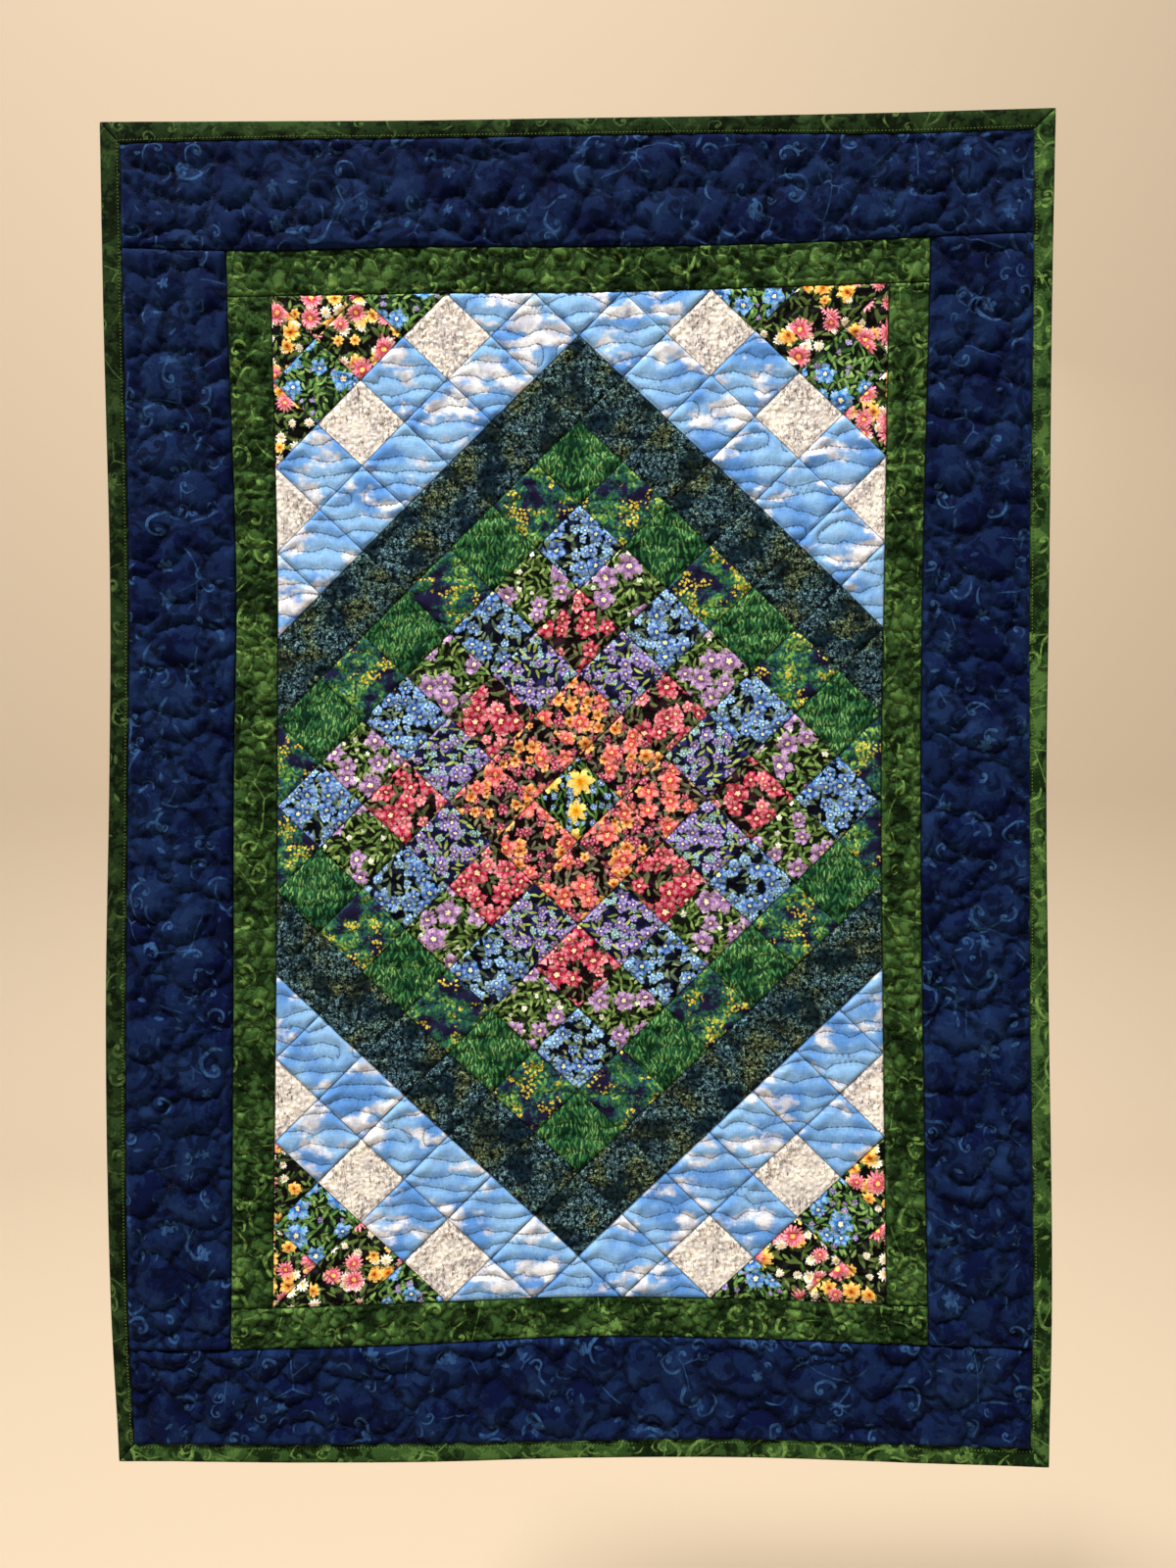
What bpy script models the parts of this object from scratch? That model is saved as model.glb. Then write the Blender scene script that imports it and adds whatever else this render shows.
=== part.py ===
"""Art quilt: a patchwork panel in two borders and a binding, hanging by its top edge.

Metres, +Z up, +X to the right of someone facing it, and the face towards -Y. The origin is
on the wall, midway between the two top corners. Top cloth, wadding and back are quilted
together, so each patchwork piece is one sheet of the full thickness. Its edges are the seams.
"""
import math

import bpy

MM = 0.001
HEIGHT = 0.859
CLOTH = 4.0 * MM            # top cloth, wadding and back, quilted as one
PRESSED = 2.4 * MM          # the same, pressed flat inside the binding
BINDING_CLOTH = 1.0 * MM    # the doubled binding strip
GAP = 0.3 * MM              # left between neighbouring pieces
SEAM = GAP / 2              # from a seam to the piece on either side of it
CELL = 36.0 * MM            # longest side of a mesh cell

# The binding's fold: the cloth's edge stops short of it, and full thickness starts past it.
EDGE_ROOM = 2.2 * MM
PRESS_START = 0.4 * MM
PRESS_END = 1.6 * MM
FULL, THIN = 1.0, 0.0       # weight of a point's thickness, from PRESSED up to CLOTH
LEG_LIFT = PRESSED / 2 + GAP + BINDING_CLOTH / 2
LEG_SETBACK = 0.22 * MM     # from the mitre, on the faces
TURN_SETBACK = 0.6 * MM     # where the fold starts to turn
WEB_SETBACK = 0.9 * MM      # round the edge

# Lines that run down the quilt: x in millimetres at each depth below the top corners.
DEPTHS = (0, 120, 290, 420, 560, 740, 859)
DOWN_LINES = {
    "edge_left": (-300.0, -299.7, -298.2, -300.1, -303.3, -303.4, -300.0),
    "fold_left": (-287.0, -286.6, -285.6, -287.5, -289.7, -291.7, -289.5),
    "seam_left": (-221.0, -220.0, -216.6, -219.5, -221.0, -224.3, -228.0),
    "panel_left": (-192.5, -192.0, -190.0, -191.5, -193.7, -197.4, -201.0),
    "panel_right": (199.0, 197.0, 194.4, 192.4, 193.6, 195.6, 197.0),
    "seam_right": (224.0, 222.2, 218.4, 217.5, 218.6, 221.6, 224.0),
    "fold_right": (286.5, 286.8, 285.2, 285.9, 286.2, 288.0, 287.5),
    "edge_right": (300.5, 298.9, 298.1, 297.0, 298.4, 300.5, 300.0),
}

# Lines that run across it: depth in millimetres at each distance from the middle.
REACHES = (-300, -200, -100, 0, 100, 200, 300)
CROSS_LINES = {
    "edge_top": (0.0, 1.2, 2.4, 2.5, 2.4, 1.6, 0.0),
    "fold_top": (14.4, 13.3, 14.0, 14.0, 13.9, 15.1, 13.0),
    "seam_top": (78.5, 82.3, 81.2, 82.5, 82.2, 79.5, 76.0),
    "panel_top": (111.0, 110.5, 110.0, 110.6, 109.2, 106.9, 106.0),
    "panel_bottom": (758.0, 756.9, 752.8, 748.5, 749.2, 753.0, 755.0),
    "seam_bottom": (785.5, 783.6, 779.5, 773.7, 774.4, 778.1, 781.0),
    "fold_bottom": (848.0, 846.3, 844.0, 840.8, 838.8, 842.6, 846.5),
    "edge_bottom": (859.2, 858.0, 856.2, 851.9, 850.8, 854.3, 859.0),
}

# The sheet leans out from the wall towards its foot.
STAND_TOP = 3.4 * MM
STAND_FOOT = 12.0 * MM
STAND_POWER = 1.5

# Soft swells in the hanging sheet, in millimetres:
# x, depth, reach across, reach down, rise towards the viewer.
SWELLS = (
    (-300, 600, 90, 130, 2.2),
    (-300, 300, 80, 110, -0.8),
    (300, 420, 90, 130, -0.9),
    (300, 700, 90, 120, 1.8),
    (60, 859, 160, 120, 3.0),
    (-290, 859, 70, 70, -2.4),
    (300, 859, 60, 60, -2.0),
    (0, 30, 180, 60, 1.2),
    (0, 430, 200, 200, 1.4),
)

# The binding's section, from its edge on the face, round the fold, to its edge on the back:
# share of the binding's width from the outer edge, lift as a share of LEG_LIFT, setback.
FOLD_SECTION = (
    (1.00, 1.0, LEG_SETBACK),
    (0.56, 1.0, LEG_SETBACK),
    (0.15, 1.0, TURN_SETBACK),
    (0.07, 0.62, WEB_SETBACK),
    (0.045, 0.0, WEB_SETBACK),
    (0.07, -0.62, WEB_SETBACK),
    (0.15, -1.0, TURN_SETBACK),
    (0.56, -1.0, LEG_SETBACK),
    (1.00, -1.0, LEG_SETBACK),
)


def smooth(stations, values, at):
    """Height of a smooth curve through the values at the stations, held level past its ends."""
    at = min(max(at, stations[0]), stations[-1])
    last = len(stations) - 1
    i = min(sum(s <= at for s in stations) - 1, last - 1)

    def slope(k):
        a, b = max(k - 1, 0), min(k + 1, last)
        return (values[b] - values[a]) / (stations[b] - stations[a])

    span = stations[i + 1] - stations[i]
    t = (at - stations[i]) / span
    return (
        (1 + 2 * t) * (1 - t) ** 2 * values[i]
        + t * (1 - t) ** 2 * span * slope(i)
        + t * t * (3 - 2 * t) * values[i + 1]
        - t * t * (1 - t) * span * slope(i + 1)
    )


def down(name, shift=0.0):
    """A line that runs down: its x as a function of z."""
    return lambda z: MM * smooth(DEPTHS, DOWN_LINES[name], -z / MM) + shift


def cross(name, shift=0.0):
    """A line that runs across: its z as a function of x."""
    return lambda x: -MM * smooth(REACHES, CROSS_LINES[name], x / MM) + shift


def blend(a, b, share):
    """The line that lies the given share of the way from line a to line b."""
    return lambda t: a(t) + (b(t) - a(t)) * share


def meet(x_line, z_line):
    """Where a line that runs down crosses one that runs across."""
    x, z = 0.0, -HEIGHT / 2
    for _ in range(4):
        x = x_line(z)
        z = z_line(x)
    return x, z


def stand_off(x, z):
    """Distance from the wall to the middle of the sheet."""
    depth = max(-z / HEIGHT, 0.0)
    lift = STAND_TOP + (STAND_FOOT - STAND_TOP) * depth ** STAND_POWER
    for across, drop, reach_x, reach_z, rise in SWELLS:
        away = ((x / MM - across) / reach_x) ** 2 + ((-z / MM - drop) / reach_z) ** 2
        lift += rise * MM * math.exp(-away)
    return lift


def sheet_point(x_line, z_line, lift=0.0):
    """A point of the hanging sheet where two lines cross, raised from its middle by lift."""
    x, z = meet(x_line, z_line)
    return x, -stand_off(x, z) - lift, z


def stations(a, b):
    """Evenly spaced lines from a to b, no more than CELL apart, each with full thickness."""
    count = math.ceil(abs(b(0.0) - a(0.0)) / CELL)
    return [(blend(a, b, i / count), FULL) for i in range(count + 1)]


def cotton(name, colour, roughness=0.85):
    """A plain cloth material."""
    material = bpy.data.materials.new(name)
    material.use_nodes = True
    shader = material.node_tree.nodes["Principled BSDF"]
    shader.inputs["Base Color"].default_value = (*colour, 1.0)
    shader.inputs["Roughness"].default_value = roughness
    shader.inputs["Metallic"].default_value = 0.0
    return material


def grid_object(name, columns, rows, point, material, collection):
    """A grid with the given number of points each way, each moved to point(column, row).

    It is given back with the column and row of each of its points.
    """
    bpy.ops.mesh.primitive_grid_add(x_subdivisions=columns - 1, y_subdivisions=rows - 1, size=2)
    obj = bpy.context.object
    obj.name = name
    obj.data.name = name
    places = []
    for vertex in obj.data.vertices:
        column = round((vertex.co.x + 1) / 2 * (columns - 1))
        row = round((1 - vertex.co.y) / 2 * (rows - 1))
        vertex.co = point(column, row)
        places.append((column, row))
    obj.data.materials.append(material)
    obj.data.shade_smooth()
    for old in obj.users_collection:
        old.objects.unlink(obj)
    collection.objects.link(obj)
    return obj, places


def thicken(obj, thickness):
    """Give a sheet its thickness, evenly to both sides."""
    solidify = obj.modifiers.new("Thickness", "SOLIDIFY")
    solidify.thickness = thickness
    solidify.offset = 0.0
    return solidify


def quilted_sheet(name, x_stations, z_stations, material, collection):
    """A patchwork piece between seams, pressed thin where it goes into the binding."""
    def point(column, row):
        return sheet_point(x_stations[column][0], z_stations[row][0])

    obj, places = grid_object(
        name, len(x_stations), len(z_stations), point, material, collection)
    solidify = thicken(obj, CLOTH)
    full = obj.vertex_groups.new(name="full")
    for index, (column, row) in enumerate(places):
        fullness = min(x_stations[column][1], z_stations[row][1])
        full.add([index], fullness, "REPLACE")
    solidify.vertex_group = full.name
    solidify.thickness_vertex_group = PRESSED / CLOTH


def pressed_edge(line, edge, fold, inward):
    """Stations of a border's outer edge, from inside the binding to full thickness."""
    return [
        (line(edge, inward * EDGE_ROOM), THIN),
        (line(fold, inward * PRESS_START), THIN),
        (line(fold, inward * PRESS_END), FULL),
    ]


def binding(name, side, start, end, runs_down, material, collection):
    """One side's binding: a strip folded round the edge and cut to a mitre at each end.

    side is its pair of lines, the outer edge and the fold's inner edge. start and end are the
    pairs of the two neighbouring sides, each with the direction that leads away from it.
    """
    length = abs(end[1](0.0) - start[1](0.0))
    cells = math.ceil(length / CELL)

    def point(along, section):
        share, lift, setback = FOLD_SECTION[section]
        first, final = (blend(a, b, share) for a, b, _ in (start, end))
        crossing = blend(
            lambda t: first(t) + start[2] * setback,
            lambda t: final(t) + end[2] * setback,
            along / cells,
        )
        own = blend(*side, share)
        lines = (own, crossing) if runs_down else (crossing, own)
        return sheet_point(*lines, lift * LEG_LIFT)

    counts = (cells + 1, len(FOLD_SECTION))
    if runs_down:
        obj, _ = grid_object(name, *counts[::-1], lambda c, r: point(r, c), material, collection)
    else:
        obj, _ = grid_object(name, *counts, point, material, collection)
    thicken(obj, BINDING_CLOTH)


def centre_panel(material, collection):
    """The patchwork panel."""
    quilted_sheet(
        "centre_panel",
        stations(down("panel_left", SEAM), down("panel_right", -SEAM)),
        stations(cross("panel_top", -SEAM), cross("panel_bottom", SEAM)),
        material, collection)


def inner_border(material, collection):
    """Four strips round the panel. The top and bottom ones run past the side ones."""
    whole_x = stations(down("seam_left", SEAM), down("seam_right", -SEAM))
    left_x = stations(down("seam_left", SEAM), down("panel_left", -SEAM))
    right_x = stations(down("panel_right", SEAM), down("seam_right", -SEAM))
    top_z = stations(cross("seam_top", -SEAM), cross("panel_top", SEAM))
    bottom_z = stations(cross("panel_bottom", -SEAM), cross("seam_bottom", SEAM))
    side_z = stations(cross("panel_top", -SEAM), cross("panel_bottom", SEAM))
    quilted_sheet("inner_border_top", whole_x, top_z, material, collection)
    quilted_sheet("inner_border_bottom", whole_x, bottom_z, material, collection)
    quilted_sheet("inner_border_left", left_x, side_z, material, collection)
    quilted_sheet("inner_border_right", right_x, side_z, material, collection)


def outer_border(material, collection):
    """Four strips whose outer edges go into the binding, the top and bottom ones full width."""
    left = pressed_edge(down, "edge_left", "fold_left", 1)
    right = pressed_edge(down, "edge_right", "fold_right", -1)[::-1]
    top = pressed_edge(cross, "edge_top", "fold_top", -1)
    bottom = pressed_edge(cross, "edge_bottom", "fold_bottom", 1)[::-1]
    left_end, right_end, top_end, bottom_end = left[-1][0], right[0][0], top[-1][0], bottom[0][0]

    whole_x = left + stations(left_end, right_end)[1:-1] + right
    left_x = left + stations(left_end, down("seam_left", -SEAM))[1:]
    right_x = stations(down("seam_right", SEAM), right_end)[:-1] + right
    top_z = top + stations(top_end, cross("seam_top", SEAM))[1:]
    bottom_z = stations(cross("seam_bottom", -SEAM), bottom_end)[:-1] + bottom
    side_z = stations(cross("seam_top", -SEAM), cross("seam_bottom", SEAM))
    quilted_sheet("outer_border_top", whole_x, top_z, material, collection)
    quilted_sheet("outer_border_bottom", whole_x, bottom_z, material, collection)
    quilted_sheet("outer_border_left", left_x, side_z, material, collection)
    quilted_sheet("outer_border_right", right_x, side_z, material, collection)


def bindings(material, collection):
    """The folded strip on each side, mitred to its neighbours."""
    left = (down("edge_left"), down("fold_left"))
    right = (down("edge_right"), down("fold_right"))
    top = (cross("edge_top"), cross("fold_top"))
    bottom = (cross("edge_bottom"), cross("fold_bottom"))
    binding("binding_left", left, (*top, -1), (*bottom, 1), True, material, collection)
    binding("binding_right", right, (*top, -1), (*bottom, 1), True, material, collection)
    binding("binding_top", top, (*left, 1), (*right, -1), False, material, collection)
    binding("binding_bottom", bottom, (*left, 1), (*right, -1), False, material, collection)


def build():
    """Model every piece of the quilt in an empty scene."""
    for obj in list(bpy.data.objects):
        bpy.data.objects.remove(obj, do_unlink=True)
    parts = bpy.data.collections.new("art_quilt")
    bpy.context.scene.collection.children.link(parts)

    green = cotton("green_scroll_cotton", (0.022, 0.085, 0.014))
    navy = cotton("navy_scroll_cotton", (0.008, 0.020, 0.085))
    patchwork = cotton("patchwork_cotton", (0.16, 0.24, 0.30))
    centre_panel(patchwork, parts)
    inner_border(green, parts)
    outer_border(navy, parts)
    bindings(green, parts)


build()
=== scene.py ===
"""Art quilt: the looks of a patchwork wall hanging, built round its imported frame.

Metres, +Z up, the face towards -Y. Everything is drawn on the flat quilt, as x from its middle
and depth below its top edge, and then hung. Each piece is a closed sheet of cloth that rises in
puffs between the quilting lines and dips into the seams. Stitches are small meshes laid on it,
and the prints are node patterns on a map of the flat cloth.
"""
import itertools
import math
from collections import namedtuple
from functools import partialmethod, reduce

import bpy
import numpy as np
from mathutils import Matrix, Vector
from mathutils.bvhtree import BVHTree
from mathutils.kdtree import KDTree


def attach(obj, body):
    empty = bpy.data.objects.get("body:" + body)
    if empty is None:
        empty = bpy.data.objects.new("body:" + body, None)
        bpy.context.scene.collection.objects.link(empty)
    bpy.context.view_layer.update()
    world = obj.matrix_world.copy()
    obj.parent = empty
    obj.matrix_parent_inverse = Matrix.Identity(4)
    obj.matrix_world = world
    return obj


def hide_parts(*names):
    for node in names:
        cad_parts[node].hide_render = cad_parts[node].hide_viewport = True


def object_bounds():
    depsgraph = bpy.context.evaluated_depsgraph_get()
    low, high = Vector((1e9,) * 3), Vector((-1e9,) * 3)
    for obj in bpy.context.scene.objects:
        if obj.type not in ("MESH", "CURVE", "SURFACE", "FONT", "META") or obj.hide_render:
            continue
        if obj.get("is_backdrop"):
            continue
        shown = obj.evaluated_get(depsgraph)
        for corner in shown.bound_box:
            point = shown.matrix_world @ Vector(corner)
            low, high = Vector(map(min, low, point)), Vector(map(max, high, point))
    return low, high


MM = 0.001
TURN = 2 * math.pi
HEIGHT = 0.859

# --- How the quilt hangs ---

# The eight lines that run down the flat quilt, and the eight that run across it, in
# millimetres: outer edge, binding's inner edge, seam between the borders, panel's edge, and
# the same four on the far side.
FLAT_X = (-300.0, -286.8, -219.6, -193.0, 193.0, 219.6, 286.8, 300.0)
FLAT_DEPTH = (0.0, 14.0, 81.5, 110.0, 753.5, 780.0, 845.5, 859.0)
EDGE_L, FOLD_L, SEAM_L, PANEL_L, PANEL_R, SEAM_R, FOLD_R, EDGE_R = (x * MM for x in FLAT_X)
EDGE_T, FOLD_T, SEAM_T, PANEL_T, PANEL_B, SEAM_B, FOLD_B, EDGE_B = (d * MM for d in FLAT_DEPTH)

# The left, right, top and bottom of the panel and of each border strip.
PANEL_BOX = (PANEL_L, PANEL_R, PANEL_T, PANEL_B)
INNER_BOXES = {
    "top": (SEAM_L, SEAM_R, SEAM_T, PANEL_T),
    "bottom": (SEAM_L, SEAM_R, PANEL_B, SEAM_B),
    "left": (SEAM_L, PANEL_L, PANEL_T, PANEL_B),
    "right": (PANEL_R, SEAM_R, PANEL_T, PANEL_B),
}
OUTER_BOXES = {
    "top": (FOLD_L, FOLD_R, FOLD_T, SEAM_T),
    "bottom": (FOLD_L, FOLD_R, SEAM_B, FOLD_B),
    "left": (FOLD_L, SEAM_L, SEAM_T, SEAM_B),
    "right": (SEAM_R, FOLD_R, SEAM_T, SEAM_B),
}

# The same lines on the hanging quilt: x at each depth, and depth at each distance from the
# middle, in millimetres.
DEPTHS = (0, 120, 290, 420, 560, 740, 859)
DOWN_LINES = (
    (-300.0, -299.7, -298.2, -300.1, -303.3, -303.4, -300.0),
    (-287.0, -286.6, -285.6, -287.5, -289.7, -291.7, -289.5),
    (-221.0, -220.0, -216.6, -219.5, -221.0, -224.3, -228.0),
    (-192.5, -192.0, -190.0, -191.5, -193.7, -197.4, -201.0),
    (199.0, 197.0, 194.4, 192.4, 193.6, 195.6, 197.0),
    (224.0, 222.2, 218.4, 217.5, 218.6, 221.6, 224.0),
    (286.5, 286.8, 285.2, 285.9, 286.2, 288.0, 287.5),
    (300.5, 298.9, 298.1, 297.0, 298.4, 300.5, 300.0),
)
REACHES = (-300, -200, -100, 0, 100, 200, 300)
CROSS_LINES = (
    (0.0, 1.2, 2.4, 2.5, 2.4, 1.6, 0.0),
    (14.4, 13.3, 14.0, 14.0, 13.9, 15.1, 13.0),
    (78.5, 82.3, 81.2, 82.5, 82.2, 79.5, 76.0),
    (111.0, 110.5, 110.0, 110.6, 109.2, 106.9, 106.0),
    (758.0, 756.9, 752.8, 748.5, 749.2, 753.0, 755.0),
    (785.5, 783.6, 779.5, 773.7, 774.4, 778.1, 781.0),
    (848.0, 846.3, 844.0, 840.8, 838.8, 842.6, 846.5),
    (859.2, 858.0, 856.2, 851.9, 850.8, 854.3, 859.0),
)

# The sheet leans out from the wall towards its foot, with soft swells in it, in millimetres:
# x, depth, reach across, reach down, rise towards the viewer.
STAND_TOP = 3.4 * MM
STAND_FOOT = 12.0 * MM
STAND_POWER = 1.5
SWELLS = (
    (-300, 600, 90, 130, 2.2),
    (-300, 300, 80, 110, -0.8),
    (300, 420, 90, 130, -0.9),
    (300, 700, 90, 120, 1.8),
    (60, 859, 160, 120, 3.0),
    (-290, 859, 70, 70, -2.4),
    (300, 859, 60, 60, -2.0),
    (0, 30, 180, 60, 1.2),
    (0, 430, 200, 200, 1.4),
)


def smooth(stations, values, at):
    """Height of a smooth curve through the values at the stations, held level past its ends."""
    s, v = np.asarray(stations, float), np.asarray(values, float)
    ends = np.arange(len(s))
    before, after = np.maximum(ends - 1, 0), np.minimum(ends + 1, len(s) - 1)
    slope = (v[after] - v[before]) / (s[after] - s[before])
    at = np.clip(at, s[0], s[-1])
    i = np.clip(np.searchsorted(s, at, side="right") - 1, 0, len(s) - 2)
    span = s[i + 1] - s[i]
    t = (at - s[i]) / span
    return (
        (1 + 2 * t) * (1 - t) ** 2 * v[i]
        + t * (1 - t) ** 2 * span * slope[i]
        + t * t * (3 - 2 * t) * v[i + 1]
        - t * t * (1 - t) * span * slope[i + 1]
    )


def between(lines, stations, at, place):
    """Value at a place among the lines, where whole numbers are the lines themselves."""
    low = np.clip(np.floor(place).astype(int), 0, len(lines) - 2)
    heights = np.array([smooth(stations, line, at) for line in lines])
    first = np.take_along_axis(heights, low[None], 0)[0]
    second = np.take_along_axis(heights, low[None] + 1, 0)[0]
    return first + (second - first) * (place - low)


def hang(flat_x, flat_depth):
    """x and z that a place on the flat quilt comes to when it hangs."""
    lines = np.arange(len(FLAT_X))
    across = np.interp(flat_x / MM, FLAT_X, lines)
    down = np.interp(flat_depth / MM, FLAT_DEPTH, lines)
    x, z = np.array(flat_x, float), -np.array(flat_depth, float)
    for _ in range(4):
        x = MM * between(DOWN_LINES, DEPTHS, -z / MM, across)
        z = -MM * between(CROSS_LINES, REACHES, x / MM, down)
    return x, z


def stand_off(x, z):
    """Distance from the wall to the middle of the sheet."""
    lift = STAND_TOP + (STAND_FOOT - STAND_TOP) * np.maximum(-z / HEIGHT, 0) ** STAND_POWER
    for across, drop, reach_x, reach_z, rise in SWELLS:
        away = ((x / MM - across) / reach_x) ** 2 + ((-z / MM - drop) / reach_z) ** 2
        lift = lift + rise * MM * np.exp(-away)
    return lift


def inside(flat_x, flat_depth, left, right, top, bottom):
    """Distance in from the nearest side of a box, and less than nothing outside it."""
    return np.minimum.reduce((
        flat_x - left, right - flat_x, flat_depth - top, bottom - flat_depth))


def lumps(x, y, size, seed):
    """Smooth random heights from -1 to 1, in lumps of the given size."""
    side = 128
    table = np.random.default_rng(seed).uniform(-1, 1, (side, side))
    a, b = np.asarray(x) / size, np.asarray(y) / size
    i, j = np.floor(a).astype(int), np.floor(b).astype(int)
    f, g = a - i, b - j
    f, g = f * f * (3 - 2 * f), g * g * (3 - 2 * g)
    low, high = (
        table[i % side, k % side] * (1 - f) + table[(i + 1) % side, k % side] * f
        for k in (j, j + 1))
    return low * (1 - g) + high * g


# --- The patchwork ---

# The squares stand on their corners: this many diagonals fit across and down the panel.
DIAGONALS_ACROSS, DIAGONALS_DOWN = 7, 12
DIAGONAL_X = (PANEL_R - PANEL_L) / DIAGONALS_ACROSS
DIAGONAL_Z = (PANEL_B - PANEL_T) / DIAGONALS_DOWN
SQUARE = 1 / math.hypot(1 / DIAGONAL_X, 1 / DIAGONAL_Z)
PANEL_MIDDLE = ((PANEL_L + PANEL_R) / 2, (PANEL_T + PANEL_B) / 2)
FARTHEST = (DIAGONALS_ACROSS + DIAGONALS_DOWN) // 2

# Each square's print goes by its ring round the middle one, taking turns along the ring.
RING_PRINTS = (
    ("daffodil",),
    ("coral",),
    ("crimson", "violet"),
    ("forget_me_not", "lilac"),
    ("grass", "shrub"),
    ("spruce",),
    ("sky",),
    ("sky", "birch"),
    ("hibiscus", "posy"),
    ("posy",),
)
PRINTS = sorted({name for ring in RING_PRINTS for name in ring})
PALE_PRINTS = ("sky", "birch")


def print_of(i, j):
    """The print of one square, by its steps from the middle one along both diagonals."""
    choices = RING_PRINTS[max(abs(i), abs(j))]
    return choices[(abs(i) + abs(j)) % len(choices)]


def on_point(flat_x, flat_depth):
    """Squares from the middle one, down to the right and down to the left."""
    across = (flat_x - PANEL_MIDDLE[0]) / DIAGONAL_X
    down = (flat_depth - PANEL_MIDDLE[1]) / DIAGONAL_Z
    return down + across, down - across


def off_point(right, left):
    """The place on the flat quilt for steps down to the right and down to the left."""
    x = PANEL_MIDDLE[0] + (right - left) / 2 * DIAGONAL_X
    return x, PANEL_MIDDLE[1] + (right + left) / 2 * DIAGONAL_Z


def square_at(flat_x, flat_depth):
    """Numbers of the square that holds each place."""
    steps = on_point(flat_x, flat_depth)
    return [np.clip(np.rint(s), -FARTHEST, FARTHEST).astype(int) for s in steps]


SQUARES = range(-FARTHEST, FARTHEST + 1)


def chart(value):
    """A table of one value for each square."""
    return np.array([[value(i, j) for j in SQUARES] for i in SQUARES])


def in_prints(flat_x, flat_depth, names):
    """True at the places whose square has one of the named prints."""
    i, j = square_at(flat_x, flat_depth)
    return chart(lambda i, j: print_of(i, j) in names)[i + FARTHEST, j + FARTHEST]


# --- The quilting lines ---

LINE_STEP = 0.8 * MM        # between the points of a quilting line
STITCH_PITCH = 2.2 * MM     # from one stitch to the next
WAVE_SPACING = 9.8 * MM     # between the rows of waves
WAVE_HEIGHT = 4.8 * MM
WAVE_LENGTH = (30 * MM, 48 * MM)
WAVE_APART = 4.8 * MM       # the nearest that one row may come to the next
WAVE_SOFTNESS = 0.8 * MM    # how gently it is held off
HOOK_ROOM = 7.0 * MM        # half the gap in two rows where they hook together
HOOK_BULGE = 2.8 * MM
HOOK_INSET = 0.03           # the nearest that a hook may come to the panel's sides
PEBBLE_SPACING = 5.6 * MM
PEBBLE_RADIUS = (1.9 * MM, 2.8 * MM)
OUTER_CLOUD = 25.0 * MM
INNER_CLOUD = 9.6 * MM
OUTER_MARGIN = 1.5 * MM     # between the clouds and the strip's seams
INNER_MARGIN = 1.2 * MM
SCALLOP = 8.0 * MM          # the width of a cloud's scallops
SCALLOP_DEPTH = 1.5 * MM
TOPSTITCH_INSET = 1.7 * MM  # from the binding's inner edge


def stretches(points, keep):
    """The unbroken stretches of a line that are kept."""
    ends = np.flatnonzero(np.diff(np.concatenate(([0], keep.astype(int), [0]))))
    return [points[a:b] for a, b in zip(ends[::2], ends[1::2]) if b - a > 4]


def wave_rows(rng):
    """Rows of waves across the panel, some hooked together in pairs."""
    count = round((PANEL_B - PANEL_T) / WAVE_SPACING)
    spacing = (PANEL_B - PANEL_T) / count
    x = np.arange(PANEL_L, PANEL_R, LINE_STEP)
    rows, hooks = [], []
    kept = np.ones((count, len(x)), bool)
    for row in range(count):
        length = rng.uniform(*WAVE_LENGTH)
        phase = rng.uniform(0, 1) + 0.5 * lumps(x, row, 60 * MM, 11)
        scallop = 1 - 2 * np.abs(np.sin(math.pi * (x / length + phase)))
        swell = lumps(x, row * 0.37, 24 * MM, 12)
        turn = np.where(lumps(x, row * 0.91, 80 * MM, 13) > 0, 1, -0.6)
        depth = PANEL_T + (row + 0.5) * spacing
        wobble = lumps(x, row * 0.71, 6.5 * MM, 14)
        line = depth + WAVE_HEIGHT * (0.5 * scallop * turn + 0.5 * swell + 0.2 * wobble)
        if rows:
            nearest = rows[-1] + WAVE_APART
            line = nearest + WAVE_SOFTNESS * np.logaddexp(0, (line - nearest) / WAVE_SOFTNESS)
        rows.append(line)
    for row in range(count - 1):
        for _ in range(rng.integers(0, 2)):
            place = rng.uniform(PANEL_L + HOOK_INSET, PANEL_R - HOOK_INSET)
            near = np.abs(x - place) < HOOK_ROOM
            if not kept[row:row + 2, near].all():
                continue
            kept[row:row + 2, near] = False
            for side, end in ((1, np.flatnonzero(near)[0]), (-1, np.flatnonzero(near)[-1])):
                top, bottom = rows[row][end], rows[row + 1][end]
                turn = np.linspace(-math.pi / 2, math.pi / 2, 16)
                hooks.append(np.column_stack((
                    x[end] + side * HOOK_BULGE * np.cos(turn),
                    (top + bottom) / 2 + (bottom - top) / 2 * np.sin(turn),
                )))
    lines = []
    for depth, keep in zip(rows, kept):
        lines += stretches(np.column_stack((x, depth)), keep)
    return lines + hooks


def pebbles(rng):
    """Small loops that fill each birch square."""
    lines = []
    count = round(SQUARE / PEBBLE_SPACING)
    turn = np.linspace(0, TURN, 17)
    for i, j in itertools.product(SQUARES, SQUARES):
        if print_of(i, j) != "birch":
            continue
        for p, q in itertools.product(range(count), range(count)):
            x, depth = off_point(i - 0.5 + (p + 0.5) / count, j - 0.5 + (q + 0.5) / count)
            if inside(x, depth, *PANEL_BOX) <= 0:
                continue
            x, depth = (v + rng.uniform(-1, 1) * MM for v in (x, depth))
            radius = rng.uniform(*PEBBLE_RADIUS)
            oval = rng.uniform(0.8, 1.2)
            lines.append(np.column_stack((
                x + radius * oval * np.cos(turn), depth + radius / oval * np.sin(turn))))
    return lines


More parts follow.
